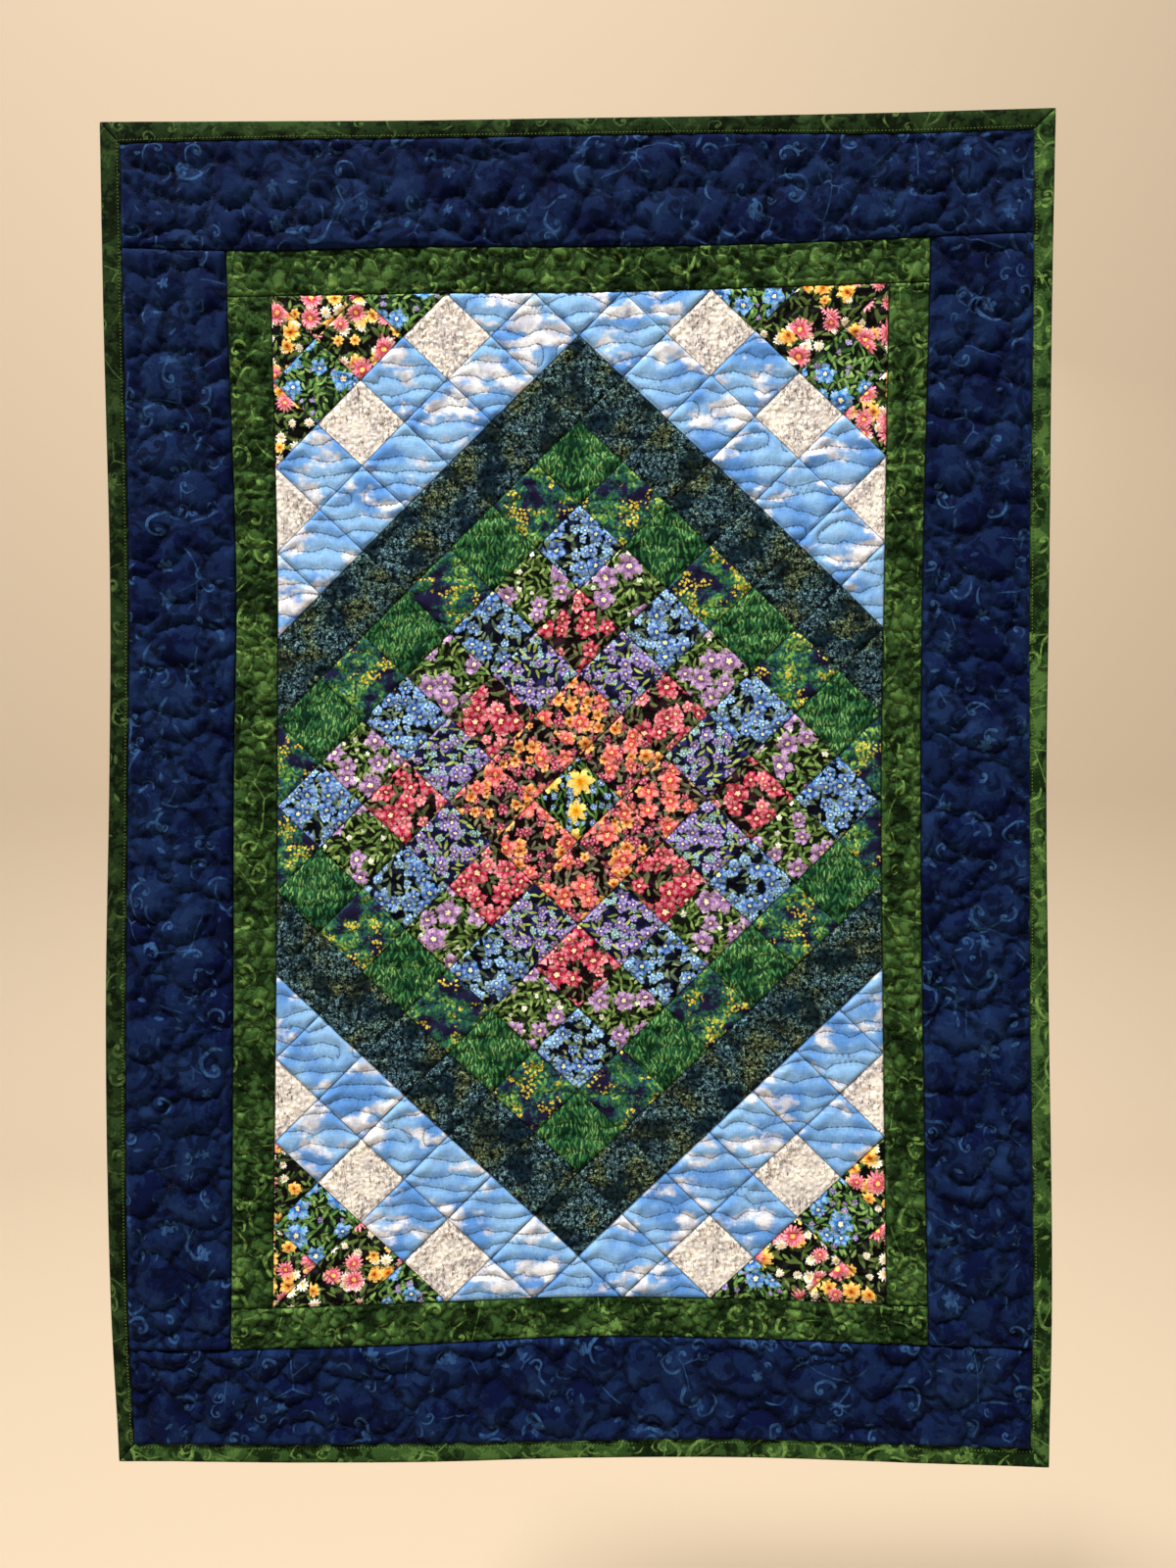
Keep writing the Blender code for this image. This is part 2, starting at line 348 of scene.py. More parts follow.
def lobed(radius, phase, angle):
    """How far a cloud's scalloped outline is from its middle in a direction."""
    arches = max(round(TURN * radius / SCALLOP), 3)
    scallop = np.abs(np.sin(arches * angle / 2 + phase)) - 0.6
    swell = 0.13 * np.sin(2 * angle + phase) + 0.08 * np.sin(3 * angle - phase)
    return radius * (1 + swell) + SCALLOP_DEPTH * scallop


def clouds(box, spacing, margin, rng):
    """Cloud outlines that overlap over a border strip, each unseen where a later one lies."""
    left, right, top, bottom = box
    columns, rows = (max(round(v / spacing), 1) for v in (right - left, bottom - top))
    places = []
    for i, j in itertools.product(range(columns + 1), range(rows + 1)):
        shift = rng.uniform(-0.3, 0.3, 2) + ((j % 2) / 2 - 0.25, 0)
        places.append((
            left + (i + shift[0]) * (right - left) / columns,
            top + (j + shift[1]) * (bottom - top) / rows,
            spacing * rng.uniform(0.52, 0.76),
            rng.uniform(0, TURN)))
    rng.shuffle(places)
    lines = []
    for index, (x, depth, radius, phase) in enumerate(places):
        angle = np.linspace(0, TURN, max(int(TURN * radius / LINE_STEP), 12))
        reach = lobed(radius, phase, angle)
        line = np.column_stack((x + reach * np.cos(angle), depth + reach * np.sin(angle)))
        keep = inside(*line.T, *box) > margin
        for other_x, other_depth, other_radius, other_phase in places[index + 1:]:
            away = line - (other_x, other_depth)
            direction = np.arctan2(away[:, 1], away[:, 0])
            keep &= np.hypot(*away.T) > lobed(other_radius, other_phase, direction)
        lines += stretches(line, keep)
    return lines


class Quilting:
    """Stitched lines on the flat quilt, and how far each place on it is from them."""

    def __init__(self, lines):
        self.lines = lines
        self.points = np.concatenate(lines)
        ahead = np.concatenate([np.gradient(line, axis=0) for line in lines])
        self.tangents = ahead / np.maximum(np.hypot(*ahead.T), 1e-9)[:, None]
        steps = [np.hypot(*np.diff(line, axis=0).T) for line in lines]
        self.runs = np.concatenate([np.concatenate(([0], np.cumsum(s))) for s in steps])
        self.tree = KDTree(len(self.points))
        for index, (x, depth) in enumerate(self.points):
            self.tree.insert((x, depth, 0), index)
        self.tree.balance()

    def measure(self, flat_x, flat_depth):
        """Distance to the nearest line, distance along it, and which side of it, -1 or 1."""
        places = np.column_stack((flat_x.ravel(), flat_depth.ravel()))
        index = np.array([self.tree.find((x, d, 0))[1] for x, d in places])
        offset = places - self.points[index]
        ahead = self.tangents[index]
        along = (offset * ahead).sum(1)
        across = offset[:, 0] * ahead[:, 1] - offset[:, 1] * ahead[:, 0]
        past = np.maximum(np.abs(along) - LINE_STEP / 2, 0)
        run = self.runs[index] + np.clip(along, -LINE_STEP / 2, LINE_STEP / 2)
        made = np.hypot(across, past), run, np.sign(across)
        return (value.reshape(flat_x.shape) for value in made)


# --- The cloth's relief ---

SEAM_LEVEL = 1.0 * MM       # a seam, above the middle of the sheet
STITCH_LEVEL = 0.9 * MM     # a stitched line
PRESSED_LEVEL = 1.2 * MM    # where the border goes into the binding
BACK_LEVEL = 1.1 * MM
FAR = 1.0                   # a distance that stands for no seam near
SEAM_ALLOWANCE = 6.5 * MM
# The steps over the seam allowances, and how far from each kind of seam the cloth dips.
ROW_STEP = 0.5 * MM
SQUARE_STEP = 0.35 * MM
BORDER_STEP = 0.3 * MM
ROW_DIP = 1.1 * MM
SQUARE_DIP = 0.7 * MM
BORDER_DIP = 1.5 * MM
PRESSED_WIDTH = 1.6 * MM    # how far in from the binding the cloth is pressed down
PRESSED_EDGE = 0.5 * MM     # how soon the cloth steps down from a seam allowance or a fold

# The puffs' crown, how far from a line they rise, how round their rise is, and the height of
# the puckers beside a line.
Puff = namedtuple("Puff", "crown reach roundness pucker")
WAVE_PUFF = Puff(1.9 * MM, 1.8 * MM, 1.0, 0.45 * MM)
PEBBLE_PUFF = Puff(1.5 * MM, 1.3 * MM, 1.1, 0.2 * MM)
INNER_PUFF = Puff(2.4 * MM, 1.7 * MM, 1.1, 0.3 * MM)
OUTER_PUFF = Puff(3.9 * MM, 3.2 * MM, 1.1, 0.45 * MM)
NEAR_REACH = 2.6 * MM
PUCKER_SIZE = 3.4 * MM
PUCKER_START = 0.8 * MM
FULLNESS = 0.22             # how much the puffs' crowns differ, in patches of the next size
FULLNESS_SIZE = 26 * MM
DENT_SIZE = 9 * MM
DENT_DEPTH = 0.3 * MM


def puffs(quilting, puff, flat_x, flat_depth):
    """Height of the cloth above its stitched lines, nearness to them, and place along them."""
    distance, run, side = quilting.measure(flat_x, flat_depth)
    full = puff.crown * (1 + FULLNESS * lumps(flat_x, flat_depth, FULLNESS_SIZE, 21))
    height = full * (1 - np.exp(-(distance / puff.reach) ** puff.roundness))
    crease = lumps(run, side * 0.5 + flat_depth * 0.02, PUCKER_SIZE, 22)
    beside = np.exp(-distance / (1.7 * puff.reach)) * (1 - np.exp(-distance / PUCKER_START))
    height += puff.pucker * 1.6 * crease * beside
    dent = DENT_DEPTH * lumps(flat_x, flat_depth, DENT_SIZE, 23)
    height += dent * np.minimum(distance / puff.reach, 1)
    near = np.exp(-(distance / NEAR_REACH) ** 2)
    return height, height / puff.crown, near, distance * side, run / STITCH_PITCH


def dipped(height, distance, reach=BORDER_DIP):
    """Cloth that comes down to a seam as the distance to it falls to nothing."""
    return SEAM_LEVEL + (height - SEAM_LEVEL) * (1 - np.exp(-(distance / reach) ** 1.3))


def shoulder(distance, height):
    """The low step over a seam allowance, on the side that it is pressed to."""
    return height / (1 + np.exp((distance - SEAM_ALLOWANCE) / PRESSED_EDGE))


def tucked_in(lift, flat_x, flat_depth):
    """Cloth pressed down where the binding covers it, and its distance in from the binding."""
    room = inside(flat_x, flat_depth, FOLD_L, FOLD_R, FOLD_T, FOLD_B)
    free = 1 / (1 + np.exp((PRESSED_WIDTH - room) / PRESSED_EDGE))
    return PRESSED_LEVEL + (lift - PRESSED_LEVEL) * free, np.maximum(room, 0)


def panel_face(flat_x, flat_depth):
    """The panel's relief, with its squares' seams."""
    waves = puffs(panel_quilting, WAVE_PUFF, flat_x, flat_depth)
    loops = puffs(pebble_quilting, PEBBLE_PUFF, flat_x, flat_depth)
    birch = in_prints(flat_x, flat_depth, ("birch",))
    height, *line = (np.where(birch, b, a) for a, b in zip(waves, loops))
    right, left = on_point(flat_x, flat_depth)
    i, j = np.rint(right), np.rint(left)
    from_row, from_square = (right - i + 0.5) * SQUARE, (left - j + 0.5) * SQUARE
    row_seam = np.minimum(from_row, SQUARE - from_row)
    square_seam = np.minimum(from_square, SQUARE - from_square)
    lift = STITCH_LEVEL + height
    lift += shoulder(from_row, ROW_STEP)
    lift += shoulder(np.where(i % 2, from_square, SQUARE - from_square), SQUARE_STEP)
    lift = dipped(lift, square_seam, SQUARE_DIP)
    lift = dipped(lift, row_seam, ROW_DIP)
    side = np.maximum(inside(flat_x, flat_depth, *PANEL_BOX), 0)
    lift = dipped(lift, side)
    return lift, np.minimum(np.minimum(row_seam, square_seam * 1.6), side), *line


def strip_face(quilting, puff, box):
    """The relief of a border strip with seams along the sides of the box."""

    def face(flat_x, flat_depth):
        height, *line = puffs(quilting, puff, flat_x, flat_depth)
        seam = np.maximum(inside(flat_x, flat_depth, *box), 0)
        lift = dipped(STITCH_LEVEL + height + shoulder(seam, BORDER_STEP), seam)
        lift, room = tucked_in(lift, flat_x, flat_depth)
        # The binding's edge counts as a seam, so the finish lays painted shade along it too.
        return lift, np.minimum(seam, room + 0.2 * MM), *line

    return face


def back_face(quilting, puff):
    """The back's relief: one plain cloth with lower puffs and no seams."""
    low = puff._replace(crown=puff.crown * 0.4, pucker=puff.pucker * 0.5)

    def face(flat_x, flat_depth):
        height, *line = puffs(quilting, low, flat_x, flat_depth)
        lift, room = tucked_in(BACK_LEVEL + height, flat_x, flat_depth)
        # The binding's edge counts as a seam here, so the finish lays painted shade along it.
        return lift, room + 0.2 * MM, *line

    return face


# --- Making the sheets ---

Net = namedtuple("Net", "x depth faces sides")


def graded(start, end, count, ease=0.35):
    """Places from start to end, closer together near both."""
    share = np.linspace(0, 1, count + 1)
    return start + (end - start) * (share - ease * np.sin(TURN * share) / TURN)


def even(start, end, cell):
    """An even number of cells of about the given size from start to end."""
    return max(round(abs(end - start) / cell / 2), 1) * 2


def grid_net(across, down):
    """A net of upright rows and columns over a strip."""
    x, depth = np.meshgrid(across, down)
    number = np.arange(x.size).reshape(x.shape)
    a, b = number[:-1, :-1].ravel(), number[1:, :-1].ravel()
    faces = np.column_stack((a, b, b + 1, a + 1)).tolist()
    sides = number[0], number[:, -1], number[-1, ::-1], number[::-1, 0]
    return Net(x.ravel(), depth.ravel(), faces, sides)


def lattice_net(every):
    """A net over the panel along both diagonals, cut off straight at the panel's sides."""
    steps = np.concatenate([graded(i - 0.5, i + 0.5, SQUARE_CELLS) for i in SQUARES])
    steps = np.unique(steps.round(9))[::every]
    right, left = np.meshgrid(steps, steps, indexing="ij")
    x, depth = off_point(right, left)
    slack = 1e-6
    kept = inside(x, depth, *PANEL_BOX) > -slack
    number = np.where(kept, np.cumsum(kept.ravel()).reshape(kept.shape) - 1, -1)
    corners = number[:-1, :-1], number[:-1, 1:], number[1:, 1:], number[1:, :-1]
    rounds = np.stack([c.ravel() for c in corners], 1)
    rounds = rounds[(rounds >= 0).sum(1) >= 3]
    faces = [[n for n in face if n >= 0] for face in rounds.tolist()]
    x, depth = x[kept], depth[kept]
    sides = []
    for off, order in (
        (depth - PANEL_T, x), (x - PANEL_R, depth), (depth - PANEL_B, -x), (x - PANEL_L, -depth)
    ):
        side = np.flatnonzero(np.abs(off) < slack)
        sides.append(side[np.argsort(order[side])])
    return Net(x, depth, faces, sides)


def new_mesh(name, points, faces):
    """A mesh of the points and faces."""
    mesh = bpy.data.meshes.new(name)
    mesh.from_pydata(points, [], faces)
    return mesh


def corner_points(mesh):
    """The number of the point at each corner of each face."""
    numbers = np.zeros(len(mesh.loops), np.int32)
    mesh.loops.foreach_get("vertex_index", numbers)
    return numbers


def write_relief(mesh, columns):
    """Store each point's distance to a seam, height, nearness to a line, and place by it."""
    # The finish paints shade from the seam, rise and near values: at the seams, between the puffs
    # and down the stitched lines.
    for name, values in zip(("seam", "rise", "near", "off", "run"), columns):
        layer = mesh.attributes.new(name, "FLOAT", "POINT")
        layer.data.foreach_set("value", np.asarray(values, np.float32).ravel())


def write_print(mesh, places):
    """Store each corner's place on the print, in metres."""
    layer = mesh.uv_layers.new(name="print")
    layer.uv.foreach_set("vector", places.astype(np.float32).ravel())


def cloth_sheet(name, nets, reliefs, materials, print_map):
    """A closed sheet: a face, a back with half as many points each way, and a rim between.

    print_map gives each face its material, and each of its corners its place on the print.
    """
    points, values = [], []
    for net, relief, side in zip(nets, reliefs, (1, -1)):
        lift, *measured = relief(net.x, net.depth)
        x, z = hang(net.x, net.depth)
        points.append(np.column_stack((x, -stand_off(x, z) - side * lift, z)))
        values.append(measured)
    front, back = nets
    first = len(front.x)
    faces = front.faces + [[first + n for n in face[::-1]] for face in back.faces]
    for face_side, back_side in zip(front.sides, back.sides):
        for k in range(len(back_side) - 1):
            ahead = face_side[2 * k:2 * k + 3].tolist()
            faces.append(ahead + [first + int(n) for n in back_side[k:k + 2][::-1]])

    mesh = new_mesh(name, np.concatenate(points).tolist(), faces)
    write_relief(mesh, (np.concatenate(pair) for pair in zip(*values)))
    totals = np.array([len(face) for face in faces])
    owner = np.repeat(np.arange(len(faces)), totals)
    flat = np.concatenate([np.column_stack((net.x, net.depth)) for net in nets])
    spots = flat[corner_points(mesh)]
    middles = np.column_stack([np.bincount(owner, spots[:, k]) / totals for k in (0, 1)])
    chosen, places = print_map(middles, spots, owner)
    chosen[len(front.faces):] = len(materials) - 1
    mesh.polygons.foreach_set("material_index", chosen.astype(np.int32))
    write_print(mesh, places)
    obj = finished(name, mesh, materials)
    mark_sharp(mesh, first + np.concatenate(back.sides))
    return obj


def mark_sharp(mesh, rim):
    """Keep the shading crisp along the edges that join two points of the rim."""
    on_rim = np.zeros(len(mesh.vertices), bool)
    on_rim[rim] = True
    ends = np.zeros(len(mesh.edges) * 2, np.int32)
    mesh.edges.foreach_get("vertices", ends)
    layer = mesh.attributes.new("sharp_edge", "BOOLEAN", "EDGE")
    layer.data.foreach_set("value", on_rim[ends.reshape(-1, 2)].all(1))


def in_scene(name, data):
    """A new object in the scene."""
    obj = bpy.data.objects.new(name, data)
    bpy.context.scene.collection.objects.link(obj)
    return obj


def finished(name, mesh, materials):
    """An object for the mesh, shaded smooth, with its materials."""
    for material in materials:
        mesh.materials.append(material)
    mesh.shade_smooth()
    return in_scene(name, mesh)


def plain_map(shift):
    """A print map with one print over the whole piece, shifted on its bolt of cloth."""
    def mapped(middles, spots, owner):
        return np.zeros(len(middles), int), spots * (1, -1) + shift
    return mapped


def patch_map(rng):
    """A print map with each square cut from its own place on its own print."""
    size = (len(SQUARES), len(SQUARES))
    shifts = rng.uniform(0, 3, (*size, 2))
    prints = chart(lambda i, j: PRINTS.index(print_of(i, j)))

    def mapped(middles, spots, owner):
        i, j = (s + FARTHEST for s in square_at(middles[:, 0], middles[:, 1]))
        return prints[i, j], spots * (1, -1) + shifts[i, j][owner]
    return mapped


# How many cells there are along a square, and how wide they are on the borders and binding.
SQUARE_CELLS = 20
INNER_CELL = 1.2 * MM
OUTER_CELL = 1.5 * MM
BINDING_CELL = 2.2 * MM

BOLT = 2.0                  # how far along and across the bolts the strips are cut from
EDGE_ROOM = 2.2 * MM        # from the quilt's edge to that of the cloth inside the binding
MITRE_GAP = 0.12 * MM
MITRE_DIP = 1.2 * MM        # how far from a mitre the binding dips
BINDING_CROWN = 2.6 * MM
SOFT_SIZE = 16 * MM         # soft lumps along the binding
SOFT_RISE = 0.22 * MM
PINCH_SIZE = 4.5 * MM       # smaller ones where the topstitching draws it in
PINCH_DEPTH = 0.13 * MM
PINCH_FROM = 0.7            # share of its width from the edge where they start
TOPSTITCH_REACH = 1.4 * MM
ROUND_EDGE = 5 * MM         # how much of the binding goes round the edge
UPRIGHT = ("left", "right")
TUCKED_TO = {
    FOLD_L: EDGE_L + EDGE_ROOM, FOLD_R: EDGE_R - EDGE_ROOM,
    FOLD_T: EDGE_T + EDGE_ROOM, FOLD_B: EDGE_B - EDGE_ROOM}


def centre_panel(materials, rng):
    """The patchwork panel."""
    nets = lattice_net(1), lattice_net(2)
    reliefs = panel_face, back_face(panel_quilting, WAVE_PUFF)
    return cloth_sheet("centre_panel_cloth", nets, reliefs, materials, patch_map(rng))


def border_strip(name, box, cell, quilting, puff, materials, shift):
    """A border strip between the seams of its box, tucked into the binding where they meet."""
    left, right, top, bottom = (TUCKED_TO.get(side, side) for side in box)
    seams = [far if side in TUCKED_TO else side for side, far in zip(box, (-FAR, FAR, -FAR, FAR))]
    wide = right - left > bottom - top
    across = graded(left, right, even(left, right, cell), 0.0 if wide else 0.3)
    down = graded(top, bottom, even(top, bottom, cell), 0.3 if wide else 0.0)
    nets = grid_net(across, down), grid_net(across[::2], down[::2])
    reliefs = strip_face(quilting, puff, seams), back_face(quilting, puff)
    return cloth_sheet(name, nets, reliefs, materials, plain_map(shift))


# The binding's section, from its inner edge on the face round to its inner edge on the back:
# share of its width from the outer edge, and lift above the middle of the sheet.
BINDING_SECTION = (
    (1.00, 1.30), (0.997, 1.66), (0.975, 1.92), (0.945, 1.98), (0.91, 1.80), (0.87, 2.02),
    (0.78, 2.36), (0.64, 2.56), (0.48, 2.62), (0.33, 2.56), (0.20, 2.42), (0.11, 2.10),
    (0.045, 1.50), (0.010, 0.80), (0.0, 0.0), (0.010, -0.80), (0.045, -1.50), (0.11, -2.05),
    (0.24, -2.30), (0.45, -2.42), (0.70, -2.36), (0.90, -2.10), (0.97, -1.95), (1.00, -1.60),
    (1.00, -1.30), (0.16, -1.30), (0.16, 1.30),
)
# Each side's place, and the seed of its soft lumps.
BINDING_EDGES = {
    "left": (EDGE_L, 31), "right": (EDGE_R, 32), "top": (EDGE_T, 33), "bottom": (EDGE_B, 34)}


def binding_side(name, side, materials, shift):
    """One side's binding: its section carried along the edge, between two mitres."""
    upright = side in UPRIGHT
    edge, seed = BINDING_EDGES[side]
    width_x, width_z = FOLD_L - EDGE_L, FOLD_T - EDGE_T
    wide, mitre = (width_x, width_z) if upright else (width_z, width_x)
    first, last = (EDGE_T, EDGE_B) if upright else (EDGE_L, EDGE_R)
    count = round((last - first) / BINDING_CELL)
    share, level = np.array(BINDING_SECTION).T * ((1,), (MM,))
    crown = np.clip(level / BINDING_CROWN, -1, 1)

    start = first + share * mitre + MITRE_GAP
    end = last - share * mitre - MITRE_GAP
    along = start[None] + (end - start)[None] * np.linspace(0, 1, count + 1)[:, None]
    inset = np.broadcast_to(share * wide, along.shape)
    place = edge - inset if side in ("right", "bottom") else edge + inset
    flat_x, flat_depth = (place, along) if upright else (along, place)

    soft = lumps(along, share[None] * 0.02, SOFT_SIZE, seed) * SOFT_RISE
    pinch = lumps(along, share[None] * 0.004, PINCH_SIZE, seed + 10) * PINCH_DEPTH
    pinch = pinch * (share > PINCH_FROM)
    from_mitre = np.minimum(along - start[None], end[None] - along)
    fold = 1 - 0.3 * np.exp(-(from_mitre / MITRE_DIP))
    lift = level * fold + (soft + pinch) * crown
    x, z = hang(flat_x, flat_depth)
    points = np.stack((x, -stand_off(x, z) - lift, z), -1).reshape(-1, 3)

    sections = len(share)
    ring = np.arange(count + 1)[:, None] * sections + np.arange(sections)[None]
    a, b = ring[:-1], ring[1:]
    faces = np.stack((a, b, np.roll(b, -1, 1), np.roll(a, -1, 1)), -1).reshape(-1, 4)
    caps = [ring[0].tolist(), ring[-1][::-1].tolist()]
    if side in ("right", "top"):
        faces = faces[:, ::-1]
        caps = [cap[::-1] for cap in caps]
    mesh = new_mesh(name, points.tolist(), faces.tolist() + caps)

    steps = np.hypot(np.diff(share) * wide, np.diff(level))
    girth = np.broadcast_to(np.concatenate(([0], np.cumsum(steps))), along.shape)
    spots = np.stack((along + shift[0], girth + shift[1]), -1).reshape(-1, 2)
    write_print(mesh, spots[corner_points(mesh)])
    inner = np.broadcast_to((1 - share) * wide, along.shape)
    from_stitches = inset - wide + TOPSTITCH_INSET
    near = np.exp(-(from_stitches / TOPSTITCH_REACH) ** 2) * (level > 0)
    # The finish lays painted shade by the binding's inner edge and mitres, and where its rise is
    # low, at its inner edges and round its outer edge.
    write_relief(mesh, (
        np.minimum(inner, from_mitre + 0.1 * MM), np.broadcast_to(np.abs(crown), along.shape),
        near, from_stitches, along / STITCH_PITCH))
    return finished(name, mesh, materials)


# --- Nodes ---

def linear(colour):
    """A display colour, 0 to 255, as the renderer's linear values."""
    shares = [c / 255 for c in colour]
    return (*(s / 12.92 if s <= 0.04045 else ((s + 0.055) / 1.055) ** 2.4 for s in shares), 1.0)


def fill(node, inputs):
    """Link each varying value to the node's socket of that name or number, and set the rest."""
    for key, value in inputs.items():
        value = value.socket if isinstance(value, Tone) else value
        if isinstance(value, bpy.types.NodeSocket):
            node.id_data.links.new(value, node.inputs[key])
        else:
            node.inputs[key].default_value = value
    return node


def add(tree, kind, inputs=None, **settings):
    """A new node with its settings and inputs."""
    node = tree.nodes.new(kind)
    for key, value in settings.items():
        setattr(node, key, value)
    return fill(node, inputs or {})


def new_material(name):
    """A material and its shader."""
    material = bpy.data.materials.new(name)
    material.use_nodes = True
    return material, material.node_tree.nodes["Principled BSDF"]


class Tone:
    """A number that varies over the cloth. Arithmetic on it adds Math nodes."""

    def __init__(self, socket):
        self.socket = socket

    def math(self, operation, *others):
        """This number and any others put through one Math node."""
        values = dict(enumerate((self, *others)))
        tree = self.socket.id_data
        return Tone(add(tree, "ShaderNodeMath", values, operation=operation).outputs[0])

    __add__ = __radd__ = partialmethod(math, "ADD")
    __sub__ = partialmethod(math, "SUBTRACT")
    __mul__ = __rmul__ = partialmethod(math, "MULTIPLY")
    __truediv__ = partialmethod(math, "DIVIDE")
    __pow__ = partialmethod(math, "POWER")
    __abs__ = partialmethod(math, "ABSOLUTE")

    def __rsub__(self, other):
        return self * -1.0 + other

    def rise(self, low, high):
        """0 below low, 1 above high and a smooth step between. With low above high it falls."""
        values = {"Value": self, "From Min": low, "From Max": high}
        step = add(
            self.socket.id_data, "ShaderNodeMapRange", values, interpolation_type="SMOOTHSTEP")
        return Tone(step.outputs["Result"])


def highest(*tones):
    """The highest of several numbers at each place."""
    return reduce(lambda a, b: a.math("MAXIMUM", b), tones)


# --- Motifs and cloth ---

THREAD_PITCH = 0.42         # millimetres from one thread of the weave to the next but one
# How soft the edges of the motifs are, in millimetres.
PETAL_BLUR = 0.35
LEAF_BLUR = 0.25
DAB_BLUR = 0.4
CURL_BLUR = 0.22
STEM_BLUR = 0.3


class Motifs:
    """A scatter of places on the cloth, one to a cell, to draw one motif round each."""

    def __init__(self, cloth, size, scatter, seed, stretch, warp):
        self.cloth = cloth
        spot = cloth.spot(seed, stretch, warp)
        cell = cloth.add(
            "ShaderNodeTexVoronoi", {"Vector": spot, "Scale": 1 / size, "Randomness": scatter},
            voronoi_dimensions="2D", feature="F1").outputs
        away = cloth.vector("SUBTRACT", {0: spot, 1: cell["Position"]})
        self.x, self.y = cloth.parts(away, "XYZ")[:2]
        self.chance, self.turn, self.shade = cloth.parts(cell["Color"], "Color")
        self.radius = (self.x * self.x + self.y * self.y) ** 0.5

    def angle(self):
        """Angle round the motif's middle, turned at random."""
        return self.y.math("ARCTAN2", self.x) + self.turn * TURN

    def shown(self, share):
        """1 in the given share of the cells and 0 in the rest."""
        return self.chance.math("LESS_THAN", share)

    def bloom(self, petals, radius, notch):
        """A flower with frilled petals, how far out in it each place is, and its lobes."""
        lobe = abs((self.angle() * (petals / 2)).math("COSINE"))
        rim = (lobe * notch + (1 - notch)) * (self.shade * 0.6 + 0.65) * radius
        rim = rim * (self.cloth.noise(1.9, 2, seed=60) * 0.8 + 0.6)
        return (self.radius - rim).rise(PETAL_BLUR, -PETAL_BLUR), self.radius / rim, lobe

    def leaf(self, length, width, lean=TURN, start=0.0, blur=LEAF_BLUR):
        """A pointed leaf through the motif's middle, and the distance across it."""
        turn = self.turn * lean + start
        cos, sin = turn.math("COSINE"), turn.math("SINE")
        share = (self.x * cos + self.y * sin) / length
        across = abs(self.y * cos - self.x * sin)
        rim = (1 - share * share) * width
        return (across - rim).rise(blur, -blur), across / width

    def curl(self, radius, growth, width):
        """A fern-like curl that winds in to a small knob and thins out to its tail."""
        hand = self.shade.math("GREATER_THAN", 0.5) * 2 - 1
        turns = self.radius.math("MAXIMUM", 0.2).math("LOGARITHM", math.e) / growth
        phase = turns - self.angle() * hand / TURN
        off = abs((phase + 0.5).math("FRACT") - 0.5) * self.radius * growth
        out = self.radius / radius
        thick = (out * (1 - out) * 2.8 + 0.3) * width * out.rise(1.0, 0.8)
        knob = self.radius - width * 1.35
        return highest(*(part.rise(CURL_BLUR, -CURL_BLUR) for part in (off - thick, knob)))


